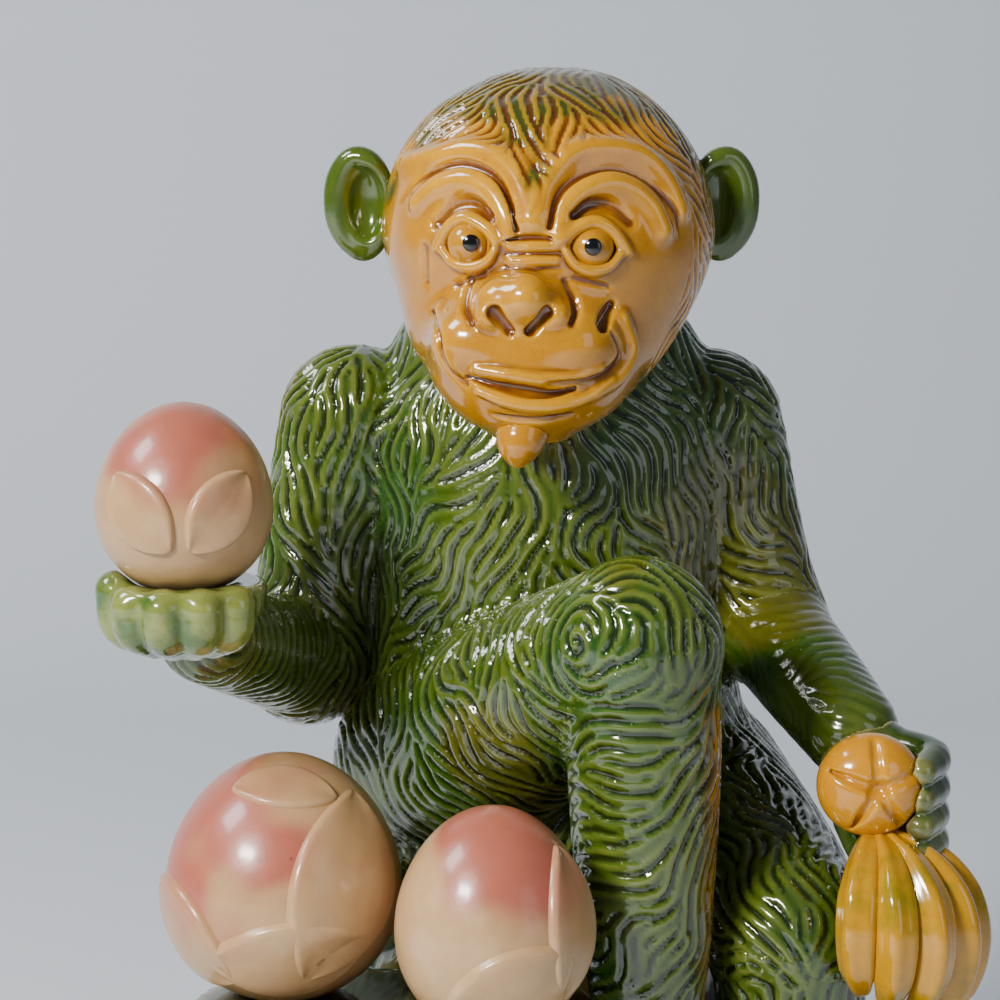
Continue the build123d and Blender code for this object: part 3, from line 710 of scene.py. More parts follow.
def spread(tree: bpy.types.NodeTree, value: object, low: float, high: float,
           new_low: float = 0.0, new_high: float = 1.0) -> bpy.types.NodeSocket:
    """Stretch a value from one range to another, smoothly at both ends."""
    made = add_node(tree, "ShaderNodeMapRange", interpolation_type="SMOOTHSTEP", in_0=value,
                    in_1=low, in_2=high, in_3=new_low, in_4=new_high)
    return made.outputs[0]


def noise(tree: bpy.types.NodeTree, place: bpy.types.NodeSocket, scale: float, detail: float,
          roughness: float, shift: float) -> bpy.types.NodeSocket:
    """Return a cloudy value over the object, with this many clouds in a metre."""
    made = add_node(tree, "ShaderNodeTexNoise", noise_dimensions="4D", in_Vector=place, in_W=shift,
                    in_Scale=scale, in_Detail=detail, in_Roughness=roughness)
    return made.outputs[0]


def mask(tree: bpy.types.NodeTree, name: str) -> bpy.types.NodeSocket:
    """Return the number that a piece carries on its points under this name."""
    return add_node(tree, "ShaderNodeAttribute", attribute_name=name).outputs["Fac"]


@dataclass(frozen=True)
class Gloss:
    """The skin of a glaze: its shine, and how deep or strong its marks are and how many a metre has."""

    roughness: float = 0.16
    coat: float = 0.8
    coat_roughness: float = 0.035
    ripple: float = 0.00012
    crazing: float = 0.35
    ripples: float = 330
    cracks: float = 240.0
    specks: float = 210.0
    speckled_areas: float = 70
    stains: float = 160


@dataclass(frozen=True)
class Glaze:
    """A glaze that runs off the ridges and pools in the hollows."""

    name: str
    slot: str
    thin: str
    body: str
    pooled: str
    patch: str
    patch_share: float = 0.5
    patch_scale: float = 22.0
    second: str = "#000000"
    second_mask: str = ""
    gloss: Gloss = Gloss()

    def build(self) -> bpy.types.Material:
        """Make the material's nodes."""
        made = bpy.data.materials.new(self.name)
        made.use_nodes = True
        tree = made.node_tree
        tree.nodes.clear()
        place = add_node(tree, "ShaderNodeTexCoord").outputs["Object"]
        gloss = self.gloss
        colour = self.marked(tree, place, self.run_out(tree, place))
        ripple = noise(tree, place, gloss.ripples, 2, 0.5, 2.2)
        bump = add_node(tree, "ShaderNodeBump", in_Strength=0.35, in_Distance=gloss.ripple, in_Height=ripple)
        shader = add_node(tree, "ShaderNodeBsdfPrincipled", in_Base_Color=colour, in_IOR=1.5,
                          in_Roughness=gloss.roughness, in_Coat_Weight=gloss.coat,
                          in_Coat_Roughness=gloss.coat_roughness, in_Coat_IOR=1.55,
                          in_Normal=bump.outputs[0])
        add_node(tree, "ShaderNodeOutputMaterial", in_Surface=shader.outputs[0])
        return made

    def run_out(self, tree: bpy.types.NodeTree, place: bpy.types.NodeSocket) -> bpy.types.NodeSocket:
        """Return the patchy colour of the glaze, thin on the ridges and pooled in the hollows."""
        clouds = noise(tree, place, self.patch_scale, 4, 0.6, 1.7)
        patches = spread(tree, clouds, 0.62 - 0.3 * self.patch_share, 0.75 - 0.2 * self.patch_share)
        colour = mix(tree, patches, linear(self.body), linear(self.patch))
        if self.second_mask:
            colour = mix(tree, mask(tree, self.second_mask), colour, linear(self.second))
        hollow = mask(tree, "hollow")
        ridges = spread(tree, hollow, -0.05, -0.5, 0.0, 0.75)
        colour = mix(tree, ridges, colour, mix(tree, 0.55, colour, linear(self.thin)))
        pools = calculate(tree, "MAXIMUM", spread(tree, mask(tree, "groove"), 0.1, 0.9, 0, 0.85),
                          spread(tree, hollow, 0.08, 0.8, 0, 0.9))
        return mix(tree, pools, colour, linear(self.pooled))

    def marked(self, tree: bpy.types.NodeTree, place: bpy.types.NodeSocket,
               colour: bpy.types.NodeSocket) -> bpy.types.NodeSocket:
        """Return a colour with the glaze's stains, dark specks and fine cracks on it."""
        gloss = self.gloss
        stains = spread(tree, noise(tree, place, gloss.stains, 3, 0.6, 4.1), 0.35, 0.7, 0, 0.25)
        colour = mix(tree, stains, colour, mix(tree, 0.5, colour, linear(self.pooled)))
        specks = add_node(tree, "ShaderNodeTexVoronoi", in_Vector=place, in_Scale=gloss.specks)
        dots = spread(tree, specks.outputs["Distance"], 0.1, 0.05, 0, 0.5)
        rare = spread(tree, noise(tree, place, gloss.speckled_areas, 2, 0.5, 9.3), 0.6, 0.7)
        colour = mix(tree, calculate(tree, "MULTIPLY", dots, rare), colour, linear(SPECK_COLOUR))
        crackle = add_node(tree, "ShaderNodeTexVoronoi", feature="DISTANCE_TO_EDGE", in_Vector=place,
                           in_Scale=gloss.cracks)
        cracks = spread(tree, crackle.outputs["Distance"], 0.03, 0.0, 0, gloss.crazing)
        return mix(tree, cracks, colour, mix(tree, 0.45, colour, linear(self.pooled)))


class Finish(Enum):
    """The glazes of the figurine."""

    # Celadon green over the carved hair, dark where it pooled in the gouges
    FUR = Glaze("green_fur_glaze", "green_glaze", "#7f8838", "#465a12", "#0c1804", "#274c10", 0.6, 24.0,
                "#8a5408", "amber")
    # Iron amber on the bare face, brown in its creases and green where the hair begins
    FACE = Glaze("amber_face_glaze", "amber_glaze", "#e8a800", "#bc7e00", "#5a2400", "#ca8c00", 0.4, 30.0,
                 "#30460f", "green")
    # Thin green over cream clay on the hands; its dark green second colour is painted shade over most of the
    # shaded left fist and where the right hand meets its peach, and random patches of glaze on the right hand
    HAND = Glaze("green_cream_hand_glaze", "green_glaze", "#d2c47e", "#7f8a3c", "#14260a", "#3c5e1c", 0.55,
                 60.0, "#123008", "pool")
    # Cream glaze with a pink blush on the peaches and their leaves
    PEACH = Glaze("cream_pink_peach_glaze", "peach_glaze", "#d6b588", "#be9668", "#6c4a2a", "#c8a276", 0.4,
                  30.0, "#ac5044", "blush", Gloss(0.34, 0.4, 0.14, 0.0002, 0.1))
    # Yellow glaze of the bananas, brown where it ran together
    BANANA = Glaze("yellow_banana_glaze", "banana_glaze", "#e8b400", "#cc9200", "#5c3000", "#8f7c00", 0.35,
                   45.0)
    # Thick glossy orange-yellow glaze on the banana crown
    CROWN = Glaze("golden_crown_glaze", "banana_glaze", "#f0b000", "#d69000", "#6a3400", "#e0a000", 0.3, 45.0)
    # Dark brown glaze of the rock, with green runs
    ROCK = Glaze("brown_rock_glaze", "rock_glaze", "#8a7a3a", "#4b3a1a", "#120c05", "#35451c", 0.6, 18.0)
    # Golden glaze of the eyeballs
    EYE = Glaze("golden_eye_glaze", "amber_glaze", "#e8b010", "#bc8000", "#642c00", "#cc9000", 0.3, 60.0)
    # Black glaze of the pupils
    BLACK = Glaze("black_eye_glaze", "black_glaze", "#1c1a18", "#060505", "#020202", "#080707")


# Building the pieces


class Workshop:
    """Turns skins into finished pieces of the scene."""

    hollow_rounds: int = 14
    hollow_depth: float = 0.9
    face_hollow_depth: float = 0.45

    def __init__(self) -> None:
        self.materials = {finish: finish.value.build() for finish in Finish}

    def finish(self, skin: Skin, finish: Finish) -> bpy.types.Object:
        """Make an object of a skin, for the solid of the same name.

        Args:
            skin: the mesh with its masks.
            finish: its glaze.

        Returns:
            The object, riding on the body.
        """
        soft = relax(skin.points, skin.faces, self.hollow_rounds)
        normals = face_normals(skin.points, skin.faces)
        deep = self.face_hollow_depth if skin.name == "head" else self.hollow_depth
        skin.masks["hollow"] = np.clip(((soft - skin.points) * normals).sum(axis=1) / deep, -1, 1)
        mesh = bpy.data.meshes.new("glazed_" + skin.name)
        mesh.from_pydata((skin.points * MM).tolist(), [], skin.faces.tolist())
        mesh.shade_smooth()
        for name, values in skin.masks.items():
            layer = mesh.attributes.new(name, "FLOAT", "POINT")
            layer.data.foreach_set("value", values.astype(np.float32))
        mesh.materials.append(self.materials[finish])
        LOG.info("%s has %d faces", skin.name, len(skin.faces))
        return self.place(mesh, finish.value.slot, [skin.name])

    @staticmethod
    def place(mesh: bpy.types.Mesh, slot: str, nodes: Sequence[str]) -> bpy.types.Object:
        """Put a finished mesh in the scene, riding on the body, for the solids that it stands for."""
        made = bpy.data.objects.new(mesh.name, mesh)
        bpy.context.scene.collection.objects.link(made)
        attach(made, "root")
        if nodes:
            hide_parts(*nodes)
        return made

    @staticmethod
    def face_outward(mesh: bpy.types.Mesh) -> None:
        """Turn the faces of a closed mesh outward if they look inward."""
        volume = 0.0
        for face in mesh.polygons:
            corners = [mesh.vertices[number].co for number in face.vertices]
            for second, third in zip(corners[1:], corners[2:]):
                volume += corners[0].dot(second.cross(third))
        if volume < 0:
            mesh.flip_normals()

    def glaze_solid(self, node: str, finish: Finish) -> None:
        """Give a solid whose shape is right its glaze."""
        solid = bpy.data.objects[node]
        for slot in solid.material_slots:
            slot.link = "OBJECT"
            slot.material = self.materials[finish]


def between(start: Sequence[float], end: Sequence[float], share: float) -> tuple[float, ...]:
    """Return the place that lies part of the way from one point to another."""
    return tuple(a + (b - a) * share for a, b in zip(start, end))


def moved(place: Sequence[float], across: float = 0, back: float = 0,
          up: float = 0) -> tuple[float, float, float]:
    """Return the place that lies this far from a point."""
    return (place[0] + across, place[1] + back, place[2] + up)


@dataclass(frozen=True)
class Skeleton:
    """The places that the pieces share, in millimetres."""

    body: tuple = (2, 24, 124)
    chin: tuple = (2, 2, 238.5)
    face_x: float = -2.0
    right_shoulder: tuple = (-45.5, 24, 236)
    right_elbow: tuple = (-57.5, 18, 176)
    right_wrist: tuple = (-77.5, -29, 192)
    right_palm: tuple = (-80.5, -46, 206)
    held_peach: tuple = (-80.5, -46, 226.25)
    left_shoulder: tuple = (42, 24, 235)
    left_elbow: tuple = (56.5, 22, 186)
    left_wrist: tuple = (73.5, -19, 167)
    left_fist: tuple = (77.5, -29, 156)
    crown: tuple = (76.5, -42, 157)
    right_hip: tuple = (-24, 14, 152)
    right_knee: tuple = (21.5, -51, 195)
    right_ankle: tuple = (24.5, -49, 98)
    left_hip: tuple = (39, 29, 140)
    left_knee: tuple = (58, -36, 124)
    left_ankle: tuple = (60, -36, 44)
    outer_peach: tuple = (-59, -46, 139)
    inner_peach: tuple = (-11, -71, 136)


BONES = Skeleton()


@dataclass(frozen=True)
class Body:
    """Torso, limbs and tail."""

    cell: float = 0.85
    torso_half_width: float = 45.0
    torso_half_depth: float = 39.0
    haunch_half_width: float = 54.0
    neck_rise: float = 138.0
    shoulder_radius: float = 18.8
    elbow_radius: float = 14.5
    wrist_radius: float = 11.5
    right_hip_radius: float = 27.0
    left_hip_radius: float = 25.0
    knee_radius: float = 18.5
    ankle_radius: float = 11.5
    foot_length: float = 36.0
    foot_radius: float = 10.5
    toe_radius: float = 3.8
    toe_spacing: float = 4.9
    toe_length: float = 12.0
    seam: float = 0.5
    hair_spacing: float = 3.2
    hair_depth: float = 0.95

    def torso(self) -> Stack:
        """Return the trunk from the seat to the neck."""
        x, y, z = BONES.body
        wide, deep = self.torso_half_width, self.torso_half_depth
        haunch, neck = self.haunch_half_width, self.neck_rise
        return Stack([
            (z + 0.2, x, y + 8, haunch - 7, deep - 1, deep - 1),
            (z + 12, x, y + 7, haunch, deep + 6, deep + 5),
            (z + 34, x, y + 5, haunch - 3, deep + 5, deep + 4),
            (z + 64, x, y + 3, wide, deep + 2, deep + 1),
            (z + 90, x, y + 1, wide, deep, deep),
            (z + neck - 26, x, y + 1, wide + 1, deep - 3, deep - 1),
            (z + neck - 12, x, y + 2, wide - 4, deep - 8, deep - 6),
            (z + neck, x, y + 2, wide - 11, deep - 13, deep - 13),
            (z + neck + 8, x, y, wide - 20, deep - 20, deep - 20),
        ])

    def skull(self) -> Stack:
        """Return the plain head from the chin to the top."""
        x, y, z = BONES.chin
        face = BONES.face_x
        return Stack([
            (z, face, y - 26, 9, 7, 7),
            (z + 5.9, face + 1, y - 22, 18, 15, 18),
            (z + 17.6, face + 2, y - 10, 29.5, 26, 26),
            (z + 32.8, x, y - 2, 36.5, 37, 38),
            (z + 46.2, x, y, 39.5, 40, 41),
            (z + 61.3, x, y + 2, 36.5, 36, 38),
            (z + 73.9, x, y + 3, 27.5, 27, 29),
            (z + 81.5, x + 1, y + 4, 15.5, 15, 17),
            (z + 84, x + 1, y + 4, 6, 6, 6),
        ])

    def arm(self, side: str) -> tuple[Chain, Chain]:
        """Return the upper arm and the forearm."""
        if side == "right":
            shoulder, elbow, wrist = BONES.right_shoulder, BONES.right_elbow, BONES.right_wrist
            bulge = moved(between(shoulder, elbow, 0.45), -2)
        else:
            shoulder, elbow, wrist = BONES.left_shoulder, BONES.left_elbow, BONES.left_wrist
            bulge = moved(between(shoulder, elbow, 0.45), 1)
        upper = Chain([shoulder, bulge, elbow],
                      [self.shoulder_radius, self.elbow_radius + 1, self.elbow_radius])
        fore = Chain([elbow, between(elbow, wrist, 0.5), wrist],
                     [self.elbow_radius - 0.6, self.wrist_radius + 1.5, self.wrist_radius])
        return upper, fore

    def leg(self, side: str) -> tuple[Chain, Chain]:
        """Return the thigh and the shin."""
        if side == "right":
            hip, knee, ankle = BONES.right_hip, BONES.right_knee, BONES.right_ankle
            hip_radius, bend = self.right_hip_radius, moved(knee, 1, 0, -3)
        else:
            hip, knee, ankle = BONES.left_hip, BONES.left_knee, BONES.left_ankle
            hip_radius, bend = self.left_hip_radius, moved(knee, 0, 0, -3)
        thigh = Chain([hip, between(hip, knee, 0.35), between(hip, knee, 0.7), knee],
                      [hip_radius, hip_radius - 1.5, self.knee_radius + 3, self.knee_radius])
        shin = Chain([bend, between(bend, ankle, 0.35), between(bend, ankle, 0.7), ankle],
                     [self.knee_radius - 1, self.knee_radius - 1.5, self.ankle_radius + 3, self.ankle_radius])
        return thigh, shin

    def foot(self, side: str) -> Modelled:
        """Return a foot with its toes, flat under the sole."""
        ankle = BONES.right_ankle if side == "right" else BONES.left_ankle
        sole = ankle[2] - 13 + 0.2
        heel = (ankle[0], ankle[1] + 4, sole + self.foot_radius - 1.5)
        ball = (ankle[0] + 1, ankle[1] - self.foot_length, sole + self.foot_radius - 4)
        form = Modelled(Chain([heel, between(heel, ball, 0.5), ball],
                              [self.foot_radius, self.foot_radius, self.foot_radius - 1]))
        for number in range(5):
            toe = moved(ball, (number - 2) * self.toe_spacing, -2, self.toe_radius - self.foot_radius + 3.5)
            line = [toe, moved(toe, 0, -0.6 * self.toe_length, 1.0), moved(toe, 0, -self.toe_length, -0.5)]
            form.add(Chain(line, [self.toe_radius, self.toe_radius, self.toe_radius - 0.5]), 1.0)
        return form.carve(Slab((0, 0, sole), (0, 0, 1)), 0)

    def tail(self) -> Chain:
        """Return the short tail that lies on the rock."""
        line = [moved(BONES.body, *step) for step in ((0, 38, 16), (8, 52, 2), (22, 60, -22), (40, 58, -42))]
        return Chain(line, [7.0, 6.5, 6.0, 4.0])

    def build(self) -> list[tuple[Skin, Coat]]:
        """Return the furred skins of the body, each with its coat."""
        torso, tail, gap = self.torso(), self.tail(), self.seam
        right_upper, right_fore = self.arm("right")
        left_upper, left_fore = self.arm("left")
        right_thigh, right_shin = self.leg("right")
        left_thigh, left_shin = self.leg("left")
        plans = [
            ("torso", Modelled(torso).seam(right_upper, 3, gap).seam(left_upper, 3, gap)
             .seam(right_thigh, 3, gap).seam(left_thigh, 3, gap), self.torso_lies()),
            ("right_upper_arm", Modelled(right_upper).seam(torso, 3, gap).seam(right_fore, 6, gap), (
                Lie(moved(BONES.right_elbow, -13, -8, 25), (-0.5, 0, -0.85)),
                Lie(moved(BONES.right_elbow, 2, -12, 25), (0.5, 0, -0.85)),
                Lie(moved(BONES.right_elbow, 12, -8, 35), (-0.2, 0, -1)),
                Lie(moved(BONES.right_shoulder, 0, 14, -20), (-0.2, 0, -1)))),
            ("right_forearm", Modelled(right_fore).seam(right_upper, 6, gap),
             self.swirl((-72, -30, 195), 12, -1, 0.8)),
            ("left_upper_arm", Modelled(left_upper).seam(torso, 3, gap).seam(left_fore, 6, gap), (
                Lie(moved(BONES.left_shoulder, 0, -14, -5), (0.4, 0, -1)),
                Lie(moved(BONES.left_elbow, -6, -12, 18), (1, 0, -0.35)),
                Lie(moved(BONES.left_elbow, 4, -12, 2), (1, 0, -0.2), 0.7),
                Lie(moved(BONES.left_shoulder, 0, 14, -20), (0.2, 0, -1)))),
            ("left_forearm", Modelled(left_fore).seam(left_upper, 6, gap),
             self.limb_lies(left_fore, (1, 0.3, -0.35), 0.3)),
            ("right_thigh", Modelled(right_thigh).seam(torso, 3, gap).seam(right_shin, 3, gap), (
                *self.swirl((6.8, -60, 195.6), 13, 1),
                Lie((-30.6, -20, 170), (0.3, 0, -1)), Lie((-20, -30, 165), (0.6, 0, -0.8)),
                Lie((-9.3, -40, 177), (0.5, 0, -0.85)), Lie((-4, -45, 172), (0.9, 0, -0.3)),
                Lie((-24, 14, 178), (0.6, -0.8, 0)))),
            ("right_shin", Modelled(right_shin).seam(right_thigh, 3, gap), (
                *(Lie((10, -60, height), (1, 0, 0.15)) for height in (110, 140, 170)),
                *(Lie((24, -66, height), (0.85, 0, 0.5)) for height in (105, 135, 165)),
                *(Lie((36, -58, height), (0.3, 0, 0.95)) for height in (110, 140, 170)),
                Lie((24, -34, 140), (0, 0, 1)))),
            ("left_thigh", Modelled(left_thigh).seam(torso, 3, gap).seam(left_shin, 5, gap),
             self.limb_lies(left_thigh, (0.3, -0.8, -0.3))),
            ("left_shin", Modelled(left_shin).seam(left_thigh, 5, gap),
             self.limb_lies(left_shin, (0.15, 0, -1))),
            ("tail", Modelled(tail).seam(torso, 3, gap), self.limb_lies(tail, (0.4, 0.3, -1))),
        ]
        for side, shin in (("right", right_shin), ("left", left_shin)):
            plans.append((f"{side}_foot", self.foot(side).carve(shin, 0.4),
                          self.limb_lies(shin, (0, -1, -0.2), 0.6)))
        return [(skin_over(name, form, self.cell), Coat(lies, None, self.hair_spacing, self.hair_depth))
                for name, form, lies in plans]

    @staticmethod
    def swirl(centre: Sequence[float], radius: float, way: int, depth: float = 1.0) -> tuple[Lie, ...]:
        """Return lies that run round a place on the front of a limb, like a cowlick."""
        lies = []
        for number in range(8):
            turn = math.radians(45 * number)
            across, up = math.cos(turn), math.sin(turn)
            place = moved(centre, radius * across, 0, radius * up)
            lies.append(Lie(place, (-way * up, 0, way * across), depth))
        return tuple(lies)

    @staticmethod
    def torso_lies() -> tuple[Lie, ...]:
        """Return the lie of the hair on the trunk."""
        x, y, z = BONES.body
        return (
            Lie((x, y - 40, z + 118), (0, 0, -1)),
            Lie((x - 20, y - 36, z + 110), (-0.55, 0, -0.85)),
            Lie((x + 20, y - 36, z + 110), (0.6, 0, -0.8)),
            Lie((x, y - 42, z + 98), (0, 0, -1)),
            Lie((x - 24, y - 38, z + 84), (-0.9, 0, -0.45)),
            Lie((x + 26, y - 38, z + 88), (0.7, 0, -0.7)),
            Lie((x, y - 45, z + 60), (0, 0, -1)),
            Lie((x - 34, y - 30, z + 45), (-0.3, 0, -1)),
            Lie((x + 34, y - 30, z + 50), (0.3, 0, -1)),
            Lie((x - 45, y, z + 80), (0, 0, -1)),
            Lie((x + 45, y, z + 80), (0, 0, -1)),
            Lie((x, y + 45, z + 80), (0, 0, -1)),
            Lie((x, y + 45, z + 20), (0.2, 0, -1)),
        )

    @staticmethod
    def limb_lies(limb: Chain, way: Sequence[float], depth: float = 1.0) -> tuple[Lie, ...]:
        """Return one lie for the whole limb."""
        return (Lie(tuple(limb.places[len(limb.places) // 2]), tuple(way), depth),)


Line = tuple[tuple[float, float], ...]


@dataclass(frozen=True)
class Mark:
    """A line modelled on the face: places across from its middle and up from the chin, radii, how proud."""

    line: Line
    radii: tuple[float, ...]
    proud: float = 0.0
    soft: float = 1.0


BROW_RIDGES = (
    Mark(((-29.5, 61.5), (-21.3, 63.7), (-14, 65.1), (-7.5, 63.1), (-2.8, 57.8), (-0.9, 50.3)),
         (2.0, 2.7, 2.2), -0.3, 3.5),
    Mark(((0.7, 49.2), (3.2, 57.8), (9.2, 64.2), (17, 65.3), (24.9, 63.5), (30.4, 58.2), (33.5, 51.6)),
         (2.2, 2.7, 2.0), -0.3, 3.5),
    Mark(((-26, 53), (-21, 57), (-14.5, 58.3), (-9, 55.5), (-6.3, 50.5), (-5.5, 46.5)),
         (2.2, 2.9, 1.8), -0.1, 3.0),
    Mark(((5.6, 46.5), (7.5, 52), (11.5, 56), (17, 57.5), (22.5, 56), (27, 52), (29.5, 47)),
         (1.8, 2.9, 2.2), -0.1, 3.0),
)
BROW_CREASES = (
    Mark(((-30.6, 53.1), (-27.4, 57.4), (-21.3, 60.8), (-15.3, 61.8), (-8.6, 58.9), (-5.1, 52.6),
          (-3.9, 47.4)), (0.6, 1.2, 0.7), 0.8, 0.8),
    Mark(((3.7, 48.1), (5.5, 54.9), (9.7, 59), (16.3, 61), (22.3, 60.1), (28.4, 56.4), (32.8, 51),
          (34, 45)), (0.7, 1.2, 0.5), 0.8, 0.8),
    Mark(((-17.5, 34.5), (-11, 37)), (0.7, 0.7), 0.2, 0.7),
    Mark(((9, 36.5), (17, 34.5)), (0.7, 0.6), 0.2, 0.7),
    Mark(((-24.8, 42.8), (-24.6, 34.9)), (0.7, 0.5), 0.3, 1.8),
    Mark(((-6, 45.2), (0, 45.6), (6, 45.2)), (0.6, 0.8, 0.6), 0.5, 0.7),
    Mark(((-6, 42.1), (0, 42.1), (6, 42.1)), (0.5, 0.7, 0.5), 0.5, 0.7),
    Mark(((-6, 38.9), (0, 38.9), (6, 38.9)), (0.5, 0.7, 0.5), 0.5, 0.7),
)
SOCKETS = (
    Mark(((-22, 48.5), (-18, 52.5), (-13.5, 53), (-9.5, 50)), (1.2, 1.9, 1.2), 0.0, 1.5),
    Mark(((9, 50.5), (13, 53), (18, 52.5), (22, 49)), (1.2, 1.9, 1.2), 0.0, 1.5),
)
LIDS = (
    Mark(((-22.1, 42.9), (-19.3, 47.8), (-15.4, 49.9), (-11, 48), (-8.6, 45.1)), (1.0, 1.6, 1.0), 0.8, 1.6),
    Mark(((6.1, 45.2), (10.2, 48.1), (14.4, 49.1), (18.5, 46.7), (21.5, 42.5)), (1.0, 1.6, 1.0), 0.8, 1.6),
    Mark(((-20.5, 42.2), (-18, 39.6), (-14.2, 38.8), (-10.6, 40.2), (-8.8, 42.8)), (0.9, 1.4, 0.9), 0.9, 1.0),
    Mark(((7.4, 42.6), (9.6, 39.6), (13.2, 38.2), (17, 39), (19.6, 41.6)), (0.9, 1.4, 0.9), 0.9, 1.0),
)
FOLDS = (
    Mark(((7.2, 36), (9.4, 31), (8.6, 26.5)), (0.7, 1.0, 0.7), 0.0, 0.9),
    Mark(((-14, 36), (-15.5, 31), (-14, 26.5)), (0.7, 0.9, 0.7), 0.0, 1.2),
    Mark(((18.1, 24.2), (19.9, 19.4), (16.9, 15.5), (12, 13.8), (3.7, 13.2)), (0.8, 1.0, 0.8), 0.1, 0.8),
    Mark(((-23.2, 28.2), (-21.7, 24.3), (-19.3, 16), (-15.2, 12.7)), (0.8, 1.0, 0.8), 0.1, 0.8),
    Mark(((-14.5, 14.4), (-8, 12.7), (-1.6, 11.6), (3.8, 11), (9, 11.9)), (0.8, 1.7, 0.8), -0.7, 0.5),
    Mark(((-9, 5.8), (0, 4.8), (9, 6)), (0.5, 0.8, 0.5), 0.2, 0.8),
)
LIPS = (
    Mark(((20.5, 27), (22.5, 20), (19.5, 14), (14, 10.8)), (1.4, 1.9, 1.4), 0.2, 1.8),
    Mark(((-21, 29), (-19.7, 24), (-17.3, 17.5)), (1.2, 1.5, 1.2), 0.2, 1.8),
    Mark(((-13, 16.3), (-6.3, 15.4), (1.9, 14.3), (9.6, 14.6), (15, 16.5)), (1.0, 1.5, 1.0), 0.5, 1.2),
    Mark(((-12.2, 11.2), (-5.1, 8.8), (3.8, 8.2), (12.1, 9.8), (17.5, 13.2)), (1.0, 1.8, 1.0), 0.6, 1.2),
)
BARE_FACE: Line = (
    (-0.4, 50), (-3.5, 60), (-7.5, 65.5), (-14, 67.3), (-21.3, 66), (-29.5, 63.5), (-34, 56), (-36.5, 45),
    (-36, 33), (-32, 20), (-24, 8), (-12, 0), (0, -4), (12, 0), (22, 8), (29, 18), (34, 30), (37, 42),
    (36.5, 52), (33, 60), (25.5, 66), (17, 67.8), (9, 66.7), (4, 60),
)


def outline_distance(across: np.ndarray, rise: np.ndarray, outline: Line) -> np.ndarray:
    """Return how far each place lies outside a closed outline, negative inside."""
    best = np.full(len(across), 1e6)
    inside = np.zeros(len(across), bool)
    for (x, y), (next_x, next_y) in zip(outline, outline[1:] + outline[:1]):
        way_x, way_y = next_x - x, next_y - y
        share = np.clip(((across - x) * way_x + (rise - y) * way_y) / (way_x ** 2 + way_y ** 2), 0, 1)
        np.minimum(best, np.hypot(across - x - share * way_x, rise - y - share * way_y), out=best)
        if way_y:
            crossing = ((y > rise) != (next_y > rise)) & (across < x + (rise - y) * way_x / way_y)
            inside ^= crossing
    return np.where(inside, -best, best)


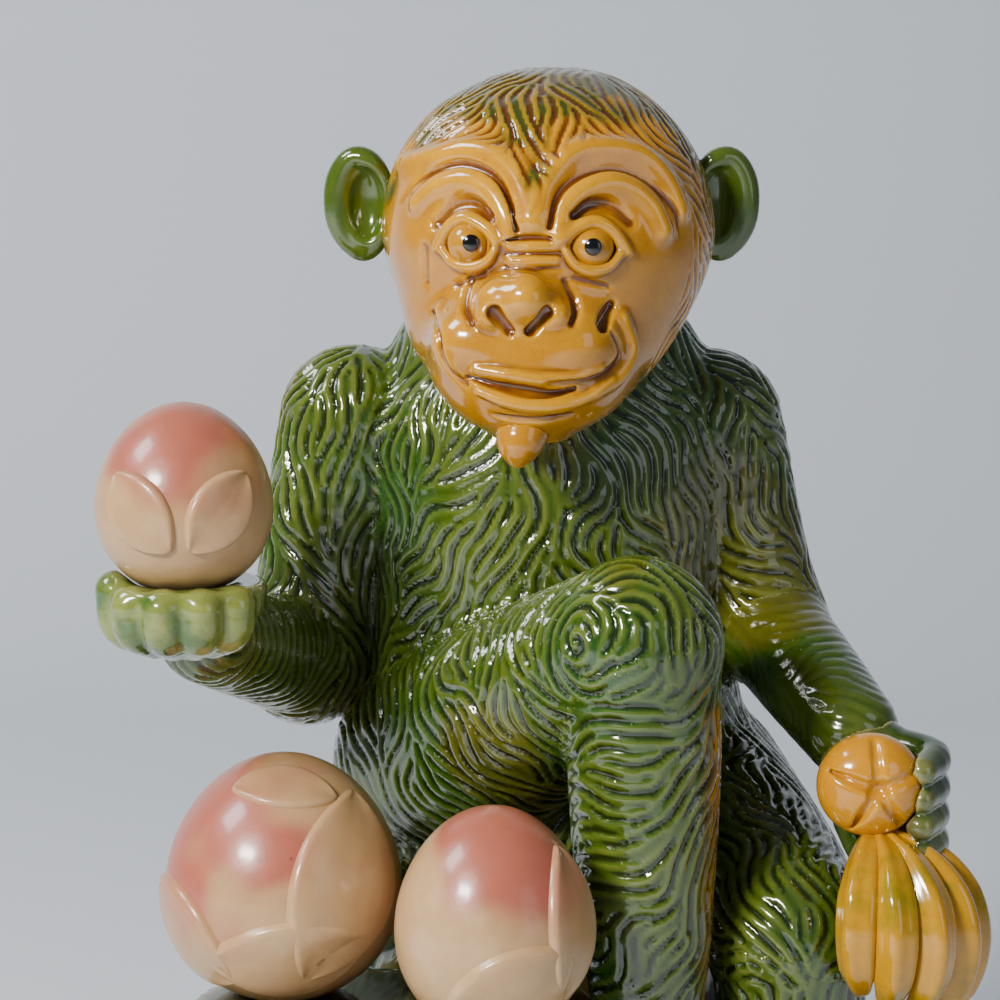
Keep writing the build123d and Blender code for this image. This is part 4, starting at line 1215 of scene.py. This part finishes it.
@dataclass(frozen=True)
class Head:
    """The head: an amber face with its features in a hood of green hair, eyes, ears and chin tuft."""

    cell: float = 0.64
    eyeball_radius: float = 5.2
    eye_sink: float = 2.6
    pupil_radius: float = 2.0
    eyes: Line = ((-14.3, 44.2), (13.1, 43.5))

    @staticmethod
    def on_face(face: Form, line: Line, proud: float) -> list[tuple[float, float, float]]:
        """Return the places on the front of the face at these distances across and up from the chin."""
        deep = np.arange(-62, 25, 0.25)
        places = []
        for across, rise in line:
            ray = np.stack([np.full(len(deep), BONES.face_x + across), deep,
                            np.full(len(deep), BONES.chin[2] + rise)], 1)
            inside = face.distance(ray) < 0
            front = deep[np.argmax(inside)] if inside.any() else -20.0
            places.append((BONES.face_x + across, front - proud, BONES.chin[2] + rise))
        return places

    def chain(self, face: Form, mark: Mark) -> Chain:
        """Return the line of one mark laid on the face."""
        places = self.on_face(face, mark.line, mark.proud)
        knots = np.linspace(0, len(mark.radii) - 1, len(places))
        return Chain(places, np.interp(knots, range(len(mark.radii)), mark.radii))

    def face_form(self, skull: Form) -> tuple[Modelled, list[tuple[float, float, float]]]:
        """Return the modelled head and the middles of its eyeballs."""
        _, y, z = BONES.chin
        face = BONES.face_x
        middle = y - 24
        muzzle = Stack([
            (z - 1, face, middle, 8, 10.5, 10),
            (z + 4, face, middle, 17, 17, 17),
            (z + 11, face, middle, 22.5, 20.5, 20),
            (z + 20, face, middle, 24.5, 21.5, 20),
            (z + 29, face, middle, 21.5, 19.5, 18),
            (z + 36, face, middle, 15.5, 14.5, 14),
            (z + 40, face, middle, 8.5, 9.5, 9),
        ])
        plain = Modelled(skull).add(muzzle, 4)
        form = Modelled(skull).add(muzzle, 4)
        for across in (-14, 9):
            puff = self.on_face(plain, ((across, 22),), -7.5)[0]
            form.add(Ball(puff, (9, 9, 8)), 4)
        for mark in BROW_RIDGES:
            form.add(self.chain(plain, mark), mark.soft)
        for mark in (*BROW_CREASES, *SOCKETS):
            form.carve(self.chain(plain, mark), mark.soft)
        centres = [self.on_face(plain, (eye,), -self.eye_sink)[0] for eye in self.eyes]
        for centre in centres:
            form.carve(Ball(centre, (self.eyeball_radius + 0.4,) * 3), 1.0)
        for mark in (*LIDS, *LIPS):
            form.add(self.chain(plain, mark), mark.soft)
        for rise in (43.7, 40.5):
            form.add(self.chain(plain, Mark(((-5, rise), (0, rise), (5, rise)), (0.8, 1.1, 0.8), 0.2)), 1.0)
        form.add(Ball((face - 3.2, -38.5, z + 31), (10, 7, 7)), 3)
        form.add(Ball((face - 1.5, -42.0, z + 32.5), (5, 5, 5)), 2)
        form.add(Ball((face - 9.5, -40.5, z + 28.5), (3.6, 4, 3.5)), 1.2)
        form.add(Ball((face + 5.0, -40.5, z + 28.5), (3.6, 4, 3.5)), 1.2)
        for line in (((-8.8, 29.2), (-5.4, 25.2)), ((2.6, 29.2), (-0.8, 25.2))):
            form.carve(self.chain(form, Mark(line, (1.9, 1.4), -0.6)), 0.7)
        for mark in FOLDS:
            form.carve(self.chain(form, mark), mark.soft)
        dimple = Mark(((12, 23.5), (14.4, 25.2), (17.5, 30.1)), (1.0, 2.2, 1.2), -0.6)
        form.carve(self.chain(plain, dimple), 1.2)
        return form, centres

    def ear(self, side: int, head: Form) -> Modelled:
        """Return an ear with its rolled rim and a hollow set towards its inner side."""
        x, y, z = BONES.chin
        facing = np.array([side * 0.35, -1.0, 0.0])
        facing /= np.linalg.norm(facing)
        level = np.array([-facing[1], facing[0], 0.0])
        root = np.array([x + side * 43 - 1.5, y + 6, z + 51.5])
        form = Modelled(Ball(root, (8.3, 13.6, 3.8), facing, level))
        rim, widths = [], []
        rim_plan = ((-72, 0.5, 1.6), (-45, 1.2, 2.3), (-15, 1.8, 2.9), (20, 2.0, 3.2),
                    (50, 2.0, 3.1), (80, 2.0, 2.8), (115, 1.8, 2.5), (150, 0.6, 2.0))
        for turn, proud, width in rim_plan:
            angle = math.radians(turn)
            rim.append(root + facing * proud + side * level * 6.2 * math.cos(angle)
                       + np.array([0, 0, 11.4 * math.sin(angle)]))
            widths.append(width)
        form.add(Chain(rim, widths), 1.2)
        form.carve(Ball(root + facing * 3.6 - side * level * 2.2, (4.6, 8.6, 4.6), facing, level), 1.5)
        return form.carve(head, 0.3)

    def build(self, body: Body) -> tuple[list[tuple[Skin, Coat]], list[Skin]]:
        """Return the furred skin of the head with its coat, and the plain skins of its small pieces."""
        skull = body.skull()
        x, y, z = BONES.chin
        form, centres = self.face_form(skull)
        skin = skin_over("head", form, self.cell)
        lies = (
            Lie((x - 2, y - 32, z + 68), (0, -0.2, -1)),
            Lie((x - 20, y - 25, z + 72), (-0.9, -0.3, -0.5)),
            Lie((x + 20, y - 25, z + 72), (0.9, -0.3, -0.5)),
            Lie((x, y - 15, z + 81), (0, -1, -0.3)),
            Lie((x - 36, y - 10, z + 45), (-0.5, 0, -1)),
            Lie((x + 36, y - 10, z + 45), (0.5, 0, -1)),
            Lie((x - 30, y - 15, z + 18), (-0.3, 0, -1)),
            Lie((x + 30, y - 15, z + 18), (0.3, 0, -1)),
            Lie((x, y + 42, z + 45), (0, 0, -1)),
            Lie((x, y + 20, z + 80), (0, 1, -0.5)),
        )
        small = []
        for name, side, centre in zip(("right", "left"), (-1, 1), centres):
            eyeball = skin_over(f"{name}_eyeball", Ball(centre, (self.eyeball_radius,) * 3), 0.35)
            front = moved(centre, 0.3, -self.eyeball_radius + 0.2, 0.2)
            pupil = skin_over(f"{name}_pupil", Ball(front, (self.pupil_radius, 0.8, self.pupil_radius)), 0.2)
            small += [eyeball, pupil, skin_over(f"{name}_ear", self.ear(side, form), 0.45)]
        tuft = Modelled(Chain([(-4, -32, 241), (-5, -34.5, 237.5), (-5.5, -35.5, 234)], [6.5, 5.2, 2.4]))
        for across in (-2.4, 0, 2.4):
            tuft.carve(Chain([(-5 + across, -41.5, 240), (-6 + 0.6 * across, -41.5, 230)], [0.8, 0.6]), 0.7)
        small.append(skin_over("chin_tuft", tuft.carve(form, 0.2), 0.45))
        skin.masks["green"] = self.hair_tint(skin.points)
        return [(skin, Coat(lies, self.bare, 2.7, 0.7))], small

    @staticmethod
    def outside(points: np.ndarray) -> np.ndarray:
        """Return how far each point lies outside the bare face, and a large number behind the ears."""
        gap = outline_distance(points[:, 0] - BONES.face_x, points[:, 2] - BONES.chin[2], BARE_FACE)
        behind = points[:, 1] - BONES.chin[1]
        return np.where(points[:, 1] > BONES.chin[1] - 2, np.maximum(gap, behind + 8), gap)

    @classmethod
    def bare(cls, points: np.ndarray) -> np.ndarray:
        """Return 1 on the bare face and 0 in the hair."""
        return smooth_step(2.0, -0.5, cls.outside(points))

    @classmethod
    def hair_tint(cls, points: np.ndarray) -> np.ndarray:
        """Return how green the hair is: little at the edge of the face and more behind."""
        edge = cls.outside(points) + 3.0 * wander(points, 12.0, SEED + 5)
        left_share = smooth_step(-5, 25, points[:, 0])
        return smooth_step(0, 6, edge - 2.5 * left_share)


@dataclass(frozen=True)
class Hands:
    """The hand that holds up a peach and the one that holds the bananas."""

    cell: float = 0.55
    palm_radius: float = 18.5
    palm_depth: float = 16.0
    finger_radius: float = 5.2
    finger_turn: float = 31
    first_finger_turn: float = 196
    fist_finger_step: float = 6.4

    def right(self, forearm: Form, peach: Form) -> Skin:
        """Return the cupped right hand with its fingers round the peach."""
        palm = BONES.right_palm
        form = Modelled(Ball(palm, (self.palm_radius, self.palm_radius, self.palm_depth)))
        form.carve(Slab(moved(palm, 0, 0, 1.5), (0, 0, -1)), 2.0)
        for number in range(5):
            turn = math.radians(self.first_finger_turn + self.finger_turn * number)
            out_x, out_y = math.cos(turn), math.sin(turn)
            line = [moved(palm, reach * out_x, reach * out_y, rise)
                    for reach, rise in ((9, -11), (14.2, -7.5), (15.8, -2.5 + 2.5 * (number == 0)))]
            form.add(Chain(line, [4.2, self.finger_radius, self.finger_radius - 0.6]), 1.3)
        form.seam(forearm, 5, 0.4)
        form.carve(Grown(peach, 0.35), 1.0)
        skin = skin_over("right_hand", form, self.cell)
        rim = skin.points[:, 2] - palm[2]
        near = peach.distance(skin.points)
        # Painted shade: dark green where the fingers meet the peach; the random dark green patches added
        # after it are the glaze's own
        pool = smooth_step(3.2, 1.0, near) * smooth_step(-8, 0, rim)
        skin.masks["pool"] = np.clip(pool + 0.6 * smooth_step(0.5, 0.9, wander(skin.points, 14, SEED)), 0, 1)
        return skin

    def left(self, forearm: Form, crown: Form) -> Skin:
        """Return the left fist with fingers and thumb round the crown."""
        fist = BONES.left_fist
        form = Modelled(Ball(fist, (11.5, 11.5, 12.5)))
        for number in range(4):
            rise = (number - 1.5) * self.fist_finger_step
            line = [moved(fist, 6, 0, rise), moved(fist, 13, -8, rise - 1), moved(fist, 9, -18, rise - 2)]
            form.add(Chain(line, [4.2, 4.2, 3.4]), 1.2)
        form.add(Chain([moved(fist, -5, -3, -8), moved(fist, -2, -14, -13), moved(fist, 4, -21, -14)],
                       [4.2, 4.2, 3.2]), 1.2)
        form.seam(forearm, 5, 0.4)
        form.carve(Grown(crown, 0.3), 0.6)
        skin = skin_over("left_hand", form, self.cell)
        # Painted shade: the left fist lies on the shaded side and is laid almost all dark green, a little
        # uneven
        skin.masks["pool"] = np.clip(0.8 + 0.25 * wander(skin.points, 20, SEED), 0, 1)
        return skin


class Grown(Form):
    """A form that is a little thicker all round."""

    def __init__(self, form: Form, amount: float) -> None:
        self.form = form
        self.amount = amount

    def distance(self, points: np.ndarray) -> np.ndarray:
        """Return the distance less the added thickness."""
        return self.form.distance(points) - self.amount

    def reach(self) -> tuple[np.ndarray, np.ndarray]:
        """Return the form's box, grown as much."""
        low, high = self.form.reach()
        return low - self.amount, high + self.amount


@dataclass(frozen=True)
class Leaf:
    """A leaf on a peach: the way it is aimed from the peach's middle, its size, and its turn in degrees."""

    name: str
    aim: tuple[float, float, float]
    length: float
    breadth: float
    turn: float


@dataclass(frozen=True)
class Peach:
    """A peach with its leaves and the way that its blush faces."""

    name: str
    middle: tuple[float, float, float]
    width: float
    height: float
    blush: tuple[float, float, float]
    leaves: tuple[Leaf, ...]

    def form(self) -> Stack:
        """Return the plain peach, fuller below and drawn in towards its top."""
        levels = []
        for step in range(15):
            turn = math.radians(-87 + 174 * step / 14)
            full = self.width / 2 * math.cos(turn) * (1 - 0.09 * math.sin(turn))
            levels.append((self.middle[2] + self.height / 2 * math.sin(turn), self.middle[0], self.middle[1],
                           full, full, full))
        return Stack(levels, 4)

    def build(self) -> list[Skin]:
        """Return the skins of the peach and its leaves."""
        peach = self.form()
        skins = [skin_over(self.name, peach, 0.8)]
        for leaf in self.leaves:
            relief = LeafRelief(peach, self.middle, leaf.aim, leaf.length, leaf.breadth, leaf.turn)
            skins.append(skin_over(leaf.name, relief, 0.5))
        for skin in skins:
            facing = (skin.points - self.middle) @ (np.array(self.blush) / np.linalg.norm(self.blush))
            share = facing / (self.width / 2) + 0.22 * wander(skin.points, 16, SEED + 2)
            skin.masks["blush"] = smooth_step(0.35, 0.95, share) * (0.85 if skin is skins[0] else 0.45)
        return skins


@dataclass(frozen=True)
class Fruit:
    """The three peaches, and the bananas under their crown."""

    banana_count: int = 5
    banana_fan: float = 27.0
    banana_girth: float = 4.8
    bend_radius: float = 25.0
    bend_step: float = 1.5
    ridges: float = 5.0
    ridge_height: float = 0.07
    first_turn: float = 15
    whole_turn: float = 125

    @staticmethod
    def peaches() -> tuple[Peach, ...]:
        """Return the peaches: one held up and two on the ledge."""
        return (
            Peach("held_peach", BONES.held_peach, 40.0, 43.5, (-0.1, -0.5, 0.9), (
                Leaf("held_peach_left_leaf", (0.5, -0.85, -0.05), 22, 10, 50),
                Leaf("held_peach_right_leaf", (-0.4, -0.9, -0.05), 22, 10, 130))),
            Peach("outer_peach", BONES.outer_peach, 54.0, 57.0, (-0.7, -0.5, 0.55), (
                Leaf("outer_peach_top_leaf", (0.05, -0.45, 0.88), 24, 9, -10),
                Leaf("outer_peach_side_leaf", (0.62, -0.78, 0.1), 44, 19, 65),
                Leaf("outer_peach_low_leaf", (0.1, -0.86, -0.5), 36, 15, 8),
                Leaf("outer_peach_back_leaf", (-0.78, -0.5, -0.38), 32, 16, -40))),
            Peach("inner_peach", BONES.inner_peach, 43.5, 51.0, (0.25, -0.5, 0.85), (
                Leaf("inner_peach_side_leaf", (0.82, -0.52, 0.1), 34, 12, 80),
                Leaf("inner_peach_low_leaf", (0.2, -0.86, -0.5), 30, 14, 25))),
        )

    @staticmethod
    def crown() -> Modelled:
        """Return the lump that the bananas grow from, wrinkled round its pit."""
        middle = moved(BONES.crown, -1.5, -2.5, 3)
        form = Modelled(Ball(middle, (12.2, 8.6, 12.0)))
        pit = moved(middle, 1.0, -8.0, 0.5)
        form.carve(Ball(pit, (2.4, 2.6, 2.0)), 1.5)
        for number in range(5):
            turn = math.radians(20 + 72 * number + 9 * math.sin(3 * number))
            out_x, out_z = math.cos(turn), math.sin(turn)
            line = [moved(pit, 2 * out_x, -0.2, 2 * out_z), moved(pit, 6.5 * out_x, 1.0, 6.5 * out_z),
                    moved(pit, 10.5 * out_x, 4.6, 10.5 * out_z)]
            form.carve(Chain(line, [0.9, 0.9, 0.5]), 1.6)
        return form

    def banana_nodes(self, glaze: bpy.types.Material) -> bpy.types.GeometryNodeTree:
        """Make the nodes that sweep a ridged section along a banana's path."""
        tree = bpy.data.node_groups.new("ridged_banana", "GeometryNodeTree")
        tree.interface.new_socket(name="Path", in_out="INPUT", socket_type="NodeSocketGeometry")
        tree.interface.new_socket(name="Ridge Height", in_out="INPUT", socket_type="NodeSocketFloat")
        tree.interface.new_socket(name="Banana", in_out="OUTPUT", socket_type="NodeSocketGeometry")
        given = add_node(tree, "NodeGroupInput")
        girth = add_node(tree, "GeometryNodeInputNamedAttribute", data_type="FLOAT", in_Name="girth")
        curve = add_node(tree, "GeometryNodeMeshToCurve", in_Mesh=given.outputs["Path"])
        circle = add_node(tree, "GeometryNodeCurvePrimitiveCircle", in_Resolution=40, in_Radius=1.0)
        place = add_node(tree, "GeometryNodeInputPosition")
        parts = add_node(tree, "ShaderNodeSeparateXYZ", in_0=place.outputs[0])
        turn = calculate(tree, "ARCTAN2", parts.outputs["Y"], parts.outputs["X"])
        ridge = calculate(tree, "COSINE", calculate(tree, "MULTIPLY", turn, self.ridges))
        lift = calculate(tree, "MULTIPLY", ridge, given.outputs["Ridge Height"])
        offset = add_node(tree, "ShaderNodeVectorMath", operation="SCALE", in_0=place.outputs[0],
                          in_Scale=lift)
        section = add_node(tree, "GeometryNodeSetPosition", in_Geometry=circle.outputs[0],
                           in_Offset=offset.outputs[0])
        swept = add_node(tree, "GeometryNodeCurveToMesh", in_Curve=curve.outputs[0],
                         in_Profile_Curve=section.outputs[0], in_Scale=girth.outputs[0], in_Fill_Caps=True)
        soft = add_node(tree, "GeometryNodeSetShadeSmooth", in_Geometry=swept.outputs[0])
        real = add_node(tree, "GeometryNodeRealizeInstances", in_Geometry=soft.outputs[0])
        glazed = add_node(tree, "GeometryNodeSetMaterial", in_Geometry=real.outputs[0], in_Material=glaze)
        add_node(tree, "NodeGroupOutput", in_Banana=glazed.outputs[0])
        return tree

    def banana_path(self, number: int) -> tuple[np.ndarray, np.ndarray]:
        """Return the places along one banana and its girth at each of them."""
        fan = math.radians(number * self.banana_fan)
        out = np.array([math.cos(fan), -math.sin(fan), 0.0])
        up = np.array([0.0, 0.0, 1.0])
        bend = self.bend_radius - number * self.bend_step
        first = math.radians(self.first_turn)
        start = np.array(BONES.crown) + out * 4 - up * 10
        centre = start - out * bend * math.sin(first) - up * bend * math.cos(first)
        shares = np.linspace(0, 1.03, 42)
        turns = first + math.radians(self.whole_turn) * shares
        places = centre + np.outer(np.sin(turns), out * bend) + np.outer(np.cos(turns), up * bend)
        knots = (0, 0.2, 0.4, 0.6, 0.8, 0.93, 1.0, 1.03)
        full = np.interp(shares, knots, (0.58, 0.8, 1, 1, 0.9, 0.62, 0.42, 0.12))
        return places, full * self.banana_girth

    def bananas(self, shop: Workshop) -> None:
        """Sweep the bananas and put them in the scene."""
        tree = self.banana_nodes(shop.materials[Finish.BANANA])
        ridge_socket = next(item for item in tree.interface.items_tree if item.name == "Ridge Height")
        for number in range(self.banana_count):
            places, girths = self.banana_path(number)
            mesh = bpy.data.meshes.new("banana_path")
            mesh.from_pydata((places * MM).tolist(), [(i, i + 1) for i in range(len(places) - 1)], [])
            mesh.attributes.new("girth", "FLOAT", "POINT").data.foreach_set("value", girths * MM)
            path = bpy.data.objects.new("banana_path", mesh)
            bpy.context.scene.collection.objects.link(path)
            sweep = path.modifiers.new("sweep", "NODES")
            sweep.node_group = tree
            sweep[ridge_socket.identifier] = self.ridge_height
            bpy.context.view_layer.update()
            ready = path.evaluated_get(bpy.context.evaluated_depsgraph_get())
            banana = bpy.data.meshes.new_from_object(ready)
            bpy.data.objects.remove(path)
            banana.name = f"glazed_banana_{number + 1}"
            shop.face_outward(banana)
            shop.place(banana, Finish.BANANA.value.slot, [f"banana_{number + 1}"])


@dataclass(frozen=True)
class Rock:
    """The rock under the seat, with its ledges for the peaches and the feet."""

    cell: float = 1.5
    plinth_height: float = 16.0
    flare: float = 4.0

    def ledge(self, middle: Sequence[float], top: float, half_wide: float, half_deep: float) -> RockMass:
        """Return a mass that rises from the plinth to a flat ledge."""
        levels = []
        for share, grow in ((0, 1.0), (0.55, 0.6), (1, 0.0)):
            height = self.plinth_height + share * (top - self.plinth_height)
            grown = grow * self.flare
            levels.append((height, middle[0], middle[1], half_wide + grown, half_deep + grown))
        return RockMass(levels)

    def build(self) -> Skin:
        """Return the skin of the rock."""
        low = self.plinth_height
        form = Modelled(RockMass([(low, 0, 14, 88, 66), (55.8, 0, 20, 68, 58), (99.2, 2, 28, 58, 50),
                                  (124, 2, 30, 52, 47)]))
        form.add(self.ledge(between(BONES.outer_peach, BONES.inner_peach, 0.45), 112, 47, 31), 1.5)
        form.add(self.ledge(moved(BONES.right_ankle, 1, -18), 85, 18, 32), 1.5)
        form.add(self.ledge(moved(BONES.left_ankle, 2, -18), 31, 22, 32), 1.5)
        return skin_over("rock_mound", form, self.cell)


@dataclass(frozen=True)
class Lamp:
    """A rectangular studio light: its place and size in metres, power in watts, and colour."""

    name: str
    place: tuple[float, float, float]
    wide: float
    tall: float
    power: float
    colour: str

    def hang(self, target: Vector) -> None:
        """Put the light in the scene, aimed at a place."""
        light = bpy.data.lights.new(self.name, "AREA")
        light.shape = "RECTANGLE"
        light.size = self.wide
        light.size_y = self.tall
        light.energy = self.power
        light.color = linear(self.colour)[:3]
        made = bpy.data.objects.new(self.name, light)
        made.location = self.place
        made.rotation_euler = (target - Vector(self.place)).to_track_quat("-Z", "Y").to_euler()
        bpy.context.scene.collection.objects.link(made)


@dataclass(frozen=True)
class Studio:
    """The paper under and behind the figurine, the light and the camera, in metres."""

    paper_half_width: float = 3.0
    paper_bend: float = 0.35
    bend_start: float = 0.75
    paper_colour: str = "#dde2e8"
    world_colour: str = "#c9d2dc"
    world_strength: float = 0.2
    lamps: tuple[Lamp, ...] = (
        Lamp("key_light", (-0.7, -0.85, 0.8), 0.3, 0.16, 22.0, "#fffaf2"),
        Lamp("fill_light", (0.9, -0.9, 0.5), 0.5, 0.8, 1.5, "#eaf1ff"),
        Lamp("wall_light", (-1.4, -0.2, 1.6), 0.6, 0.6, 22.0, "#f4f8ff"),
    )
    target: tuple[float, float, float] = (0, 0, 0.2)
    camera_place: tuple[float, float, float] = (-0.0095, -0.6692, 0.3134)
    camera_tilt: float = 82
    lens: float = 100.8
    sensor: float = 36.0

    def set_up(self) -> None:
        """Lay the paper, hang the lights and place the camera."""
        self.lay_paper()
        world = bpy.data.worlds.new("studio")
        world.use_nodes = True
        background = world.node_tree.nodes["Background"]
        background.inputs[0].default_value = linear(self.world_colour)
        background.inputs[1].default_value = self.world_strength
        bpy.context.scene.world = world
        for lamp in self.lamps:
            lamp.hang(Vector(self.target))
        self.place_camera()

    def lay_paper(self) -> None:
        """Lay pale paper on the floor, bent up behind the figurine."""
        rows = []
        for step in range(25):
            turn = math.radians(90 * step / 24)
            rows.append((self.bend_start + self.paper_bend * math.sin(turn),
                         self.paper_bend - self.paper_bend * math.cos(turn)))
        profile = [(-2.5, 0.0), *rows, (1.1, 3.0)]
        points = [(side * self.paper_half_width, deep, high) for deep, high in profile for side in (-1, 1)]
        faces = [(2 * i, 2 * i + 1, 2 * i + 3, 2 * i + 2) for i in range(len(profile) - 1)]
        mesh = bpy.data.meshes.new("backdrop")
        mesh.from_pydata(points, [], faces)
        mesh.shade_smooth()
        paper = bpy.data.materials.new("pale_paper")
        paper.use_nodes = True
        shader = paper.node_tree.nodes["Principled BSDF"]
        shader.inputs["Base Color"].default_value = linear(self.paper_colour)
        shader.inputs["Roughness"].default_value = 0.9
        mesh.materials.append(paper)
        backdrop = bpy.data.objects.new("backdrop", mesh)
        bpy.context.scene.collection.objects.link(backdrop)

    def place_camera(self) -> None:
        """Place the camera where the photograph's was."""
        camera = bpy.data.cameras.new("camera")
        camera.lens = self.lens
        camera.sensor_width = self.sensor
        made = bpy.data.objects.new("camera", camera)
        made.location = self.camera_place
        made.rotation_euler = (math.radians(self.camera_tilt), 0, 0)
        bpy.context.scene.collection.objects.link(made)
        bpy.context.scene.camera = made


SMALL_GLAZES = {"eyeball": Finish.EYE, "pupil": Finish.BLACK, "ear": Finish.FUR, "tuft": Finish.FACE}


def stain_fur(skin: Skin) -> None:
    """Let some amber glaze run over green fur, most of it down the outer side of the right shin."""
    amber = 0.2 * smooth_step(0.55, 1.0, wander(skin.points, 60, SEED + 6))
    if skin.name == "right_shin":
        side = smooth_step(34, 39, skin.points[:, 0])
        amber += 0.8 * side * smooth_step(185, 178, skin.points[:, 2])
    skin.masks["amber"] = amber


def main() -> None:
    """Build the figurine, then its surroundings."""
    logging.basicConfig(level=logging.INFO, format="%(message)s")
    shop = Workshop()
    body = Body()
    furs = body.build()
    heads, small = Head().build(body)
    furs += heads
    Gouging().carve(furs)
    for skin, _ in furs:
        if skin.name == "head":
            shop.finish(skin, Finish.FACE)
            continue
        stain_fur(skin)
        shop.finish(skin, Finish.FUR)
    for skin in small:
        shop.finish(skin, SMALL_GLAZES[skin.name.split("_")[-1]])
    fruit = Fruit()
    peaches = fruit.peaches()
    crown = fruit.crown()
    _, right_fore = body.arm("right")
    _, left_fore = body.arm("left")
    hands = Hands()
    shop.finish(hands.right(right_fore, peaches[0].form()), Finish.HAND)
    shop.finish(hands.left(left_fore, crown), Finish.HAND)
    for peach in peaches:
        for skin in peach.build():
            shop.finish(skin, Finish.PEACH)
    shop.finish(skin_over("banana_crown", crown, 0.5), Finish.CROWN)
    fruit.bananas(shop)
    shop.finish(Rock().build(), Finish.ROCK)
    shop.glaze_solid("foot_plinth", Finish.ROCK)
    Studio().set_up()


if __name__ == "__main__":
    main()
